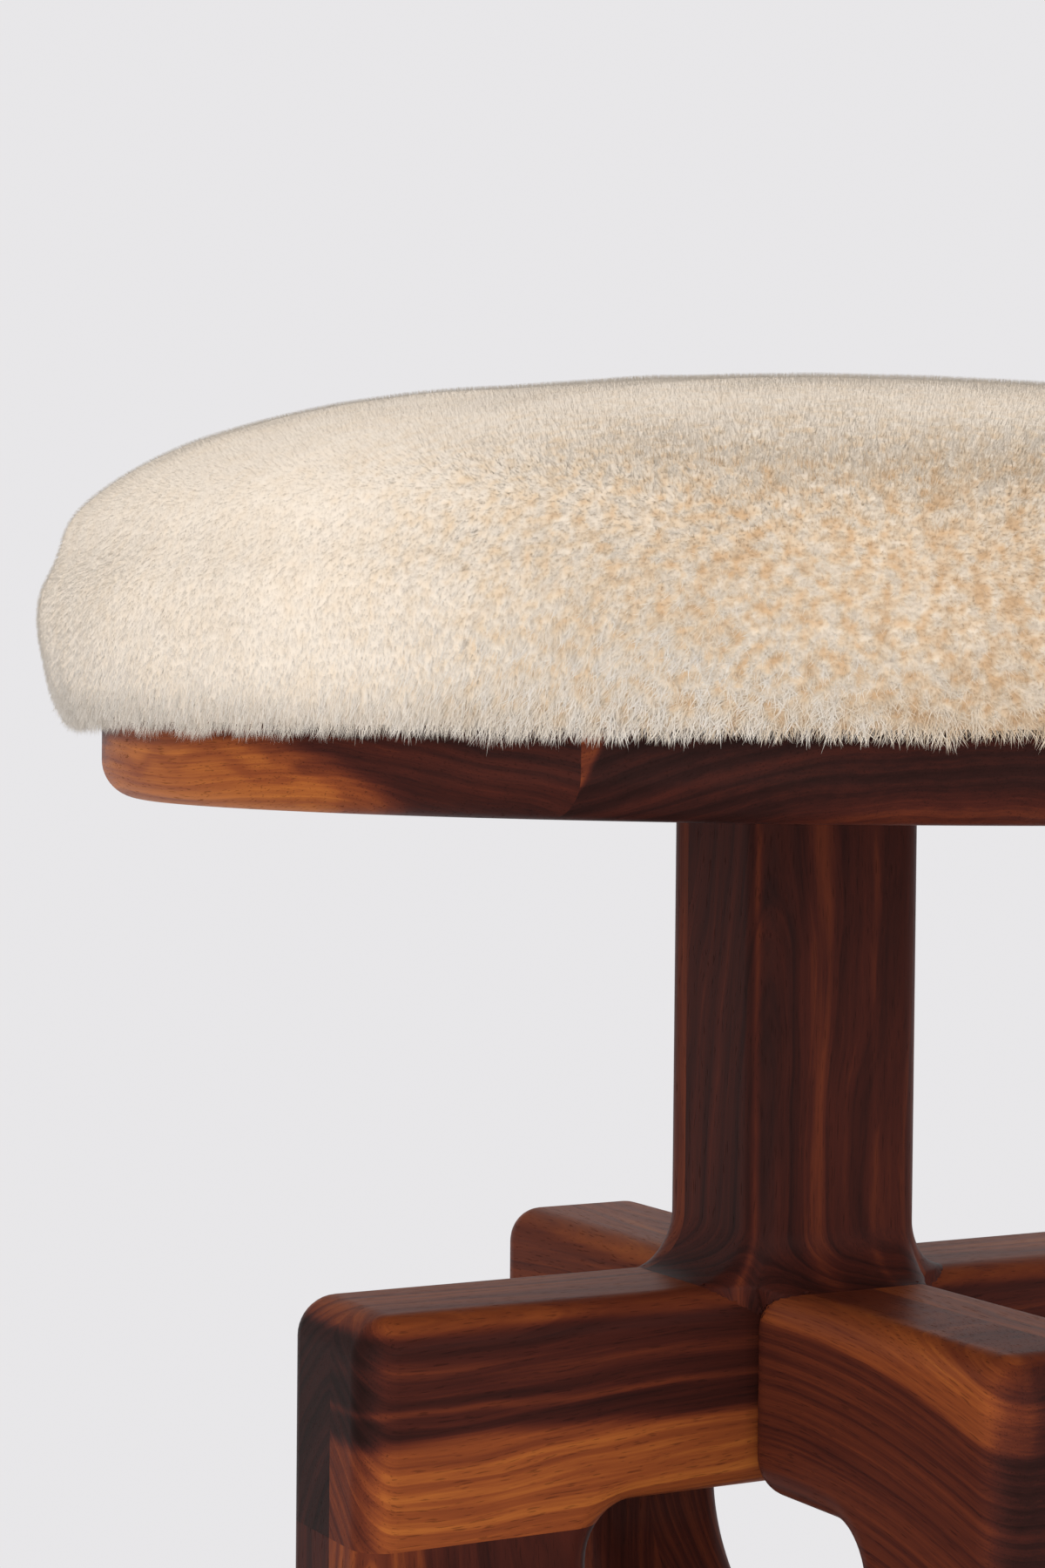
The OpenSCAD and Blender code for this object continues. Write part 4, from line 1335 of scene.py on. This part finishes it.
LOOK_TURN = math.radians(28.64)
LOOK_DOWN = math.radians(1.388)
ROLL = math.radians(0.54)
LENS = 74.04
EYE = Vector((-461.3, -697.2, 594.4)) * MM
BACKDROP = (0.806, 0.797, 0.812, 1)
FLOOR = (0.72, 0.712, 0.725, 1)
FLOOR_R = 1.2
FLOOR_SIDES = 96


def make_camera():
    data = bpy.data.cameras.new("camera")
    set_all(data, sensor_fit="VERTICAL", sensor_height=36, lens=LENS, clip_start=0.01, clip_end=50)
    camera = linked("camera", data)
    turn = Matrix.Rotation(-LOOK_TURN, 3, "Z") @ Matrix.Rotation(math.radians(90) - LOOK_DOWN, 3, "X")
    camera.matrix_world = Matrix.Translation(EYE) @ (turn @ Matrix.Rotation(ROLL, 3, "Z")).to_4x4()
    bpy.context.scene.camera = camera


def area_light(name, place, target, size, power, colour=(1, 1, 1)):
    data = bpy.data.lights.new(name, "AREA")
    set_all(data, shape="RECTANGLE", size=size[0], size_y=size[1], energy=power, color=colour)
    lamp = linked(name, data)
    lamp.location = place
    lamp.rotation_euler = (Vector(target) - Vector(place)).to_track_quat("-Z", "Y").to_euler()


def studio():
    """The backdrop as the camera and the reflections see it, and a dimmer sky for soft light."""
    scene = bpy.context.scene
    scene.view_settings.view_transform = "Standard"
    world = scene.world or bpy.data.worlds.new("studio")
    scene.world = world
    world.use_nodes = True
    t = Tree(world.node_tree)
    sky = world.node_tree.nodes["Background"]
    path = t.add("ShaderNodeLightPath")
    seen = t.math("MAXIMUM", t.value(path, "Is Camera Ray"), t.value(path, "Is Glossy Ray"))
    seen = t.math("MAXIMUM", seen, t.value(path, "Is Transmission Ray"))
    t.feed(sky.inputs["Color"], BACKDROP)
    t.feed(sky.inputs["Strength"], 0.95 + seen * 0.05)
    area_light("key", (-2, -1.5, 0.75), (0, 0, 0.55), (3, 2), 30, (1, 0.985, 0.96))
    area_light("fill", (0.5, -2.4, 0.8), (0, 0, 0.5), (1.6, 1), 11)
    area_light("rim", (1, 1, 2.2), (0, 0, 0.5), (2.2, 2.2), 10)


@finish(Roughness=0.8)
def floor_finish(t):
    return {"Base Color": FLOOR}


def make_floor():
    """A pale round floor that takes the stool's shadow."""
    ring = [(*p, 0) for p in arc((0, 0), FLOOR_R, 0, 360, FLOOR_SIDES)[:-1]]
    faces = [(i, (i + 1) % FLOOR_SIDES, FLOOR_SIDES) for i in range(FLOOR_SIDES)]
    floor = new_object("floor", [*ring, (0, 0, 0)], faces)
    dress(floor, floor_finish("floor"))


make_camera()
studio()
make_floor()
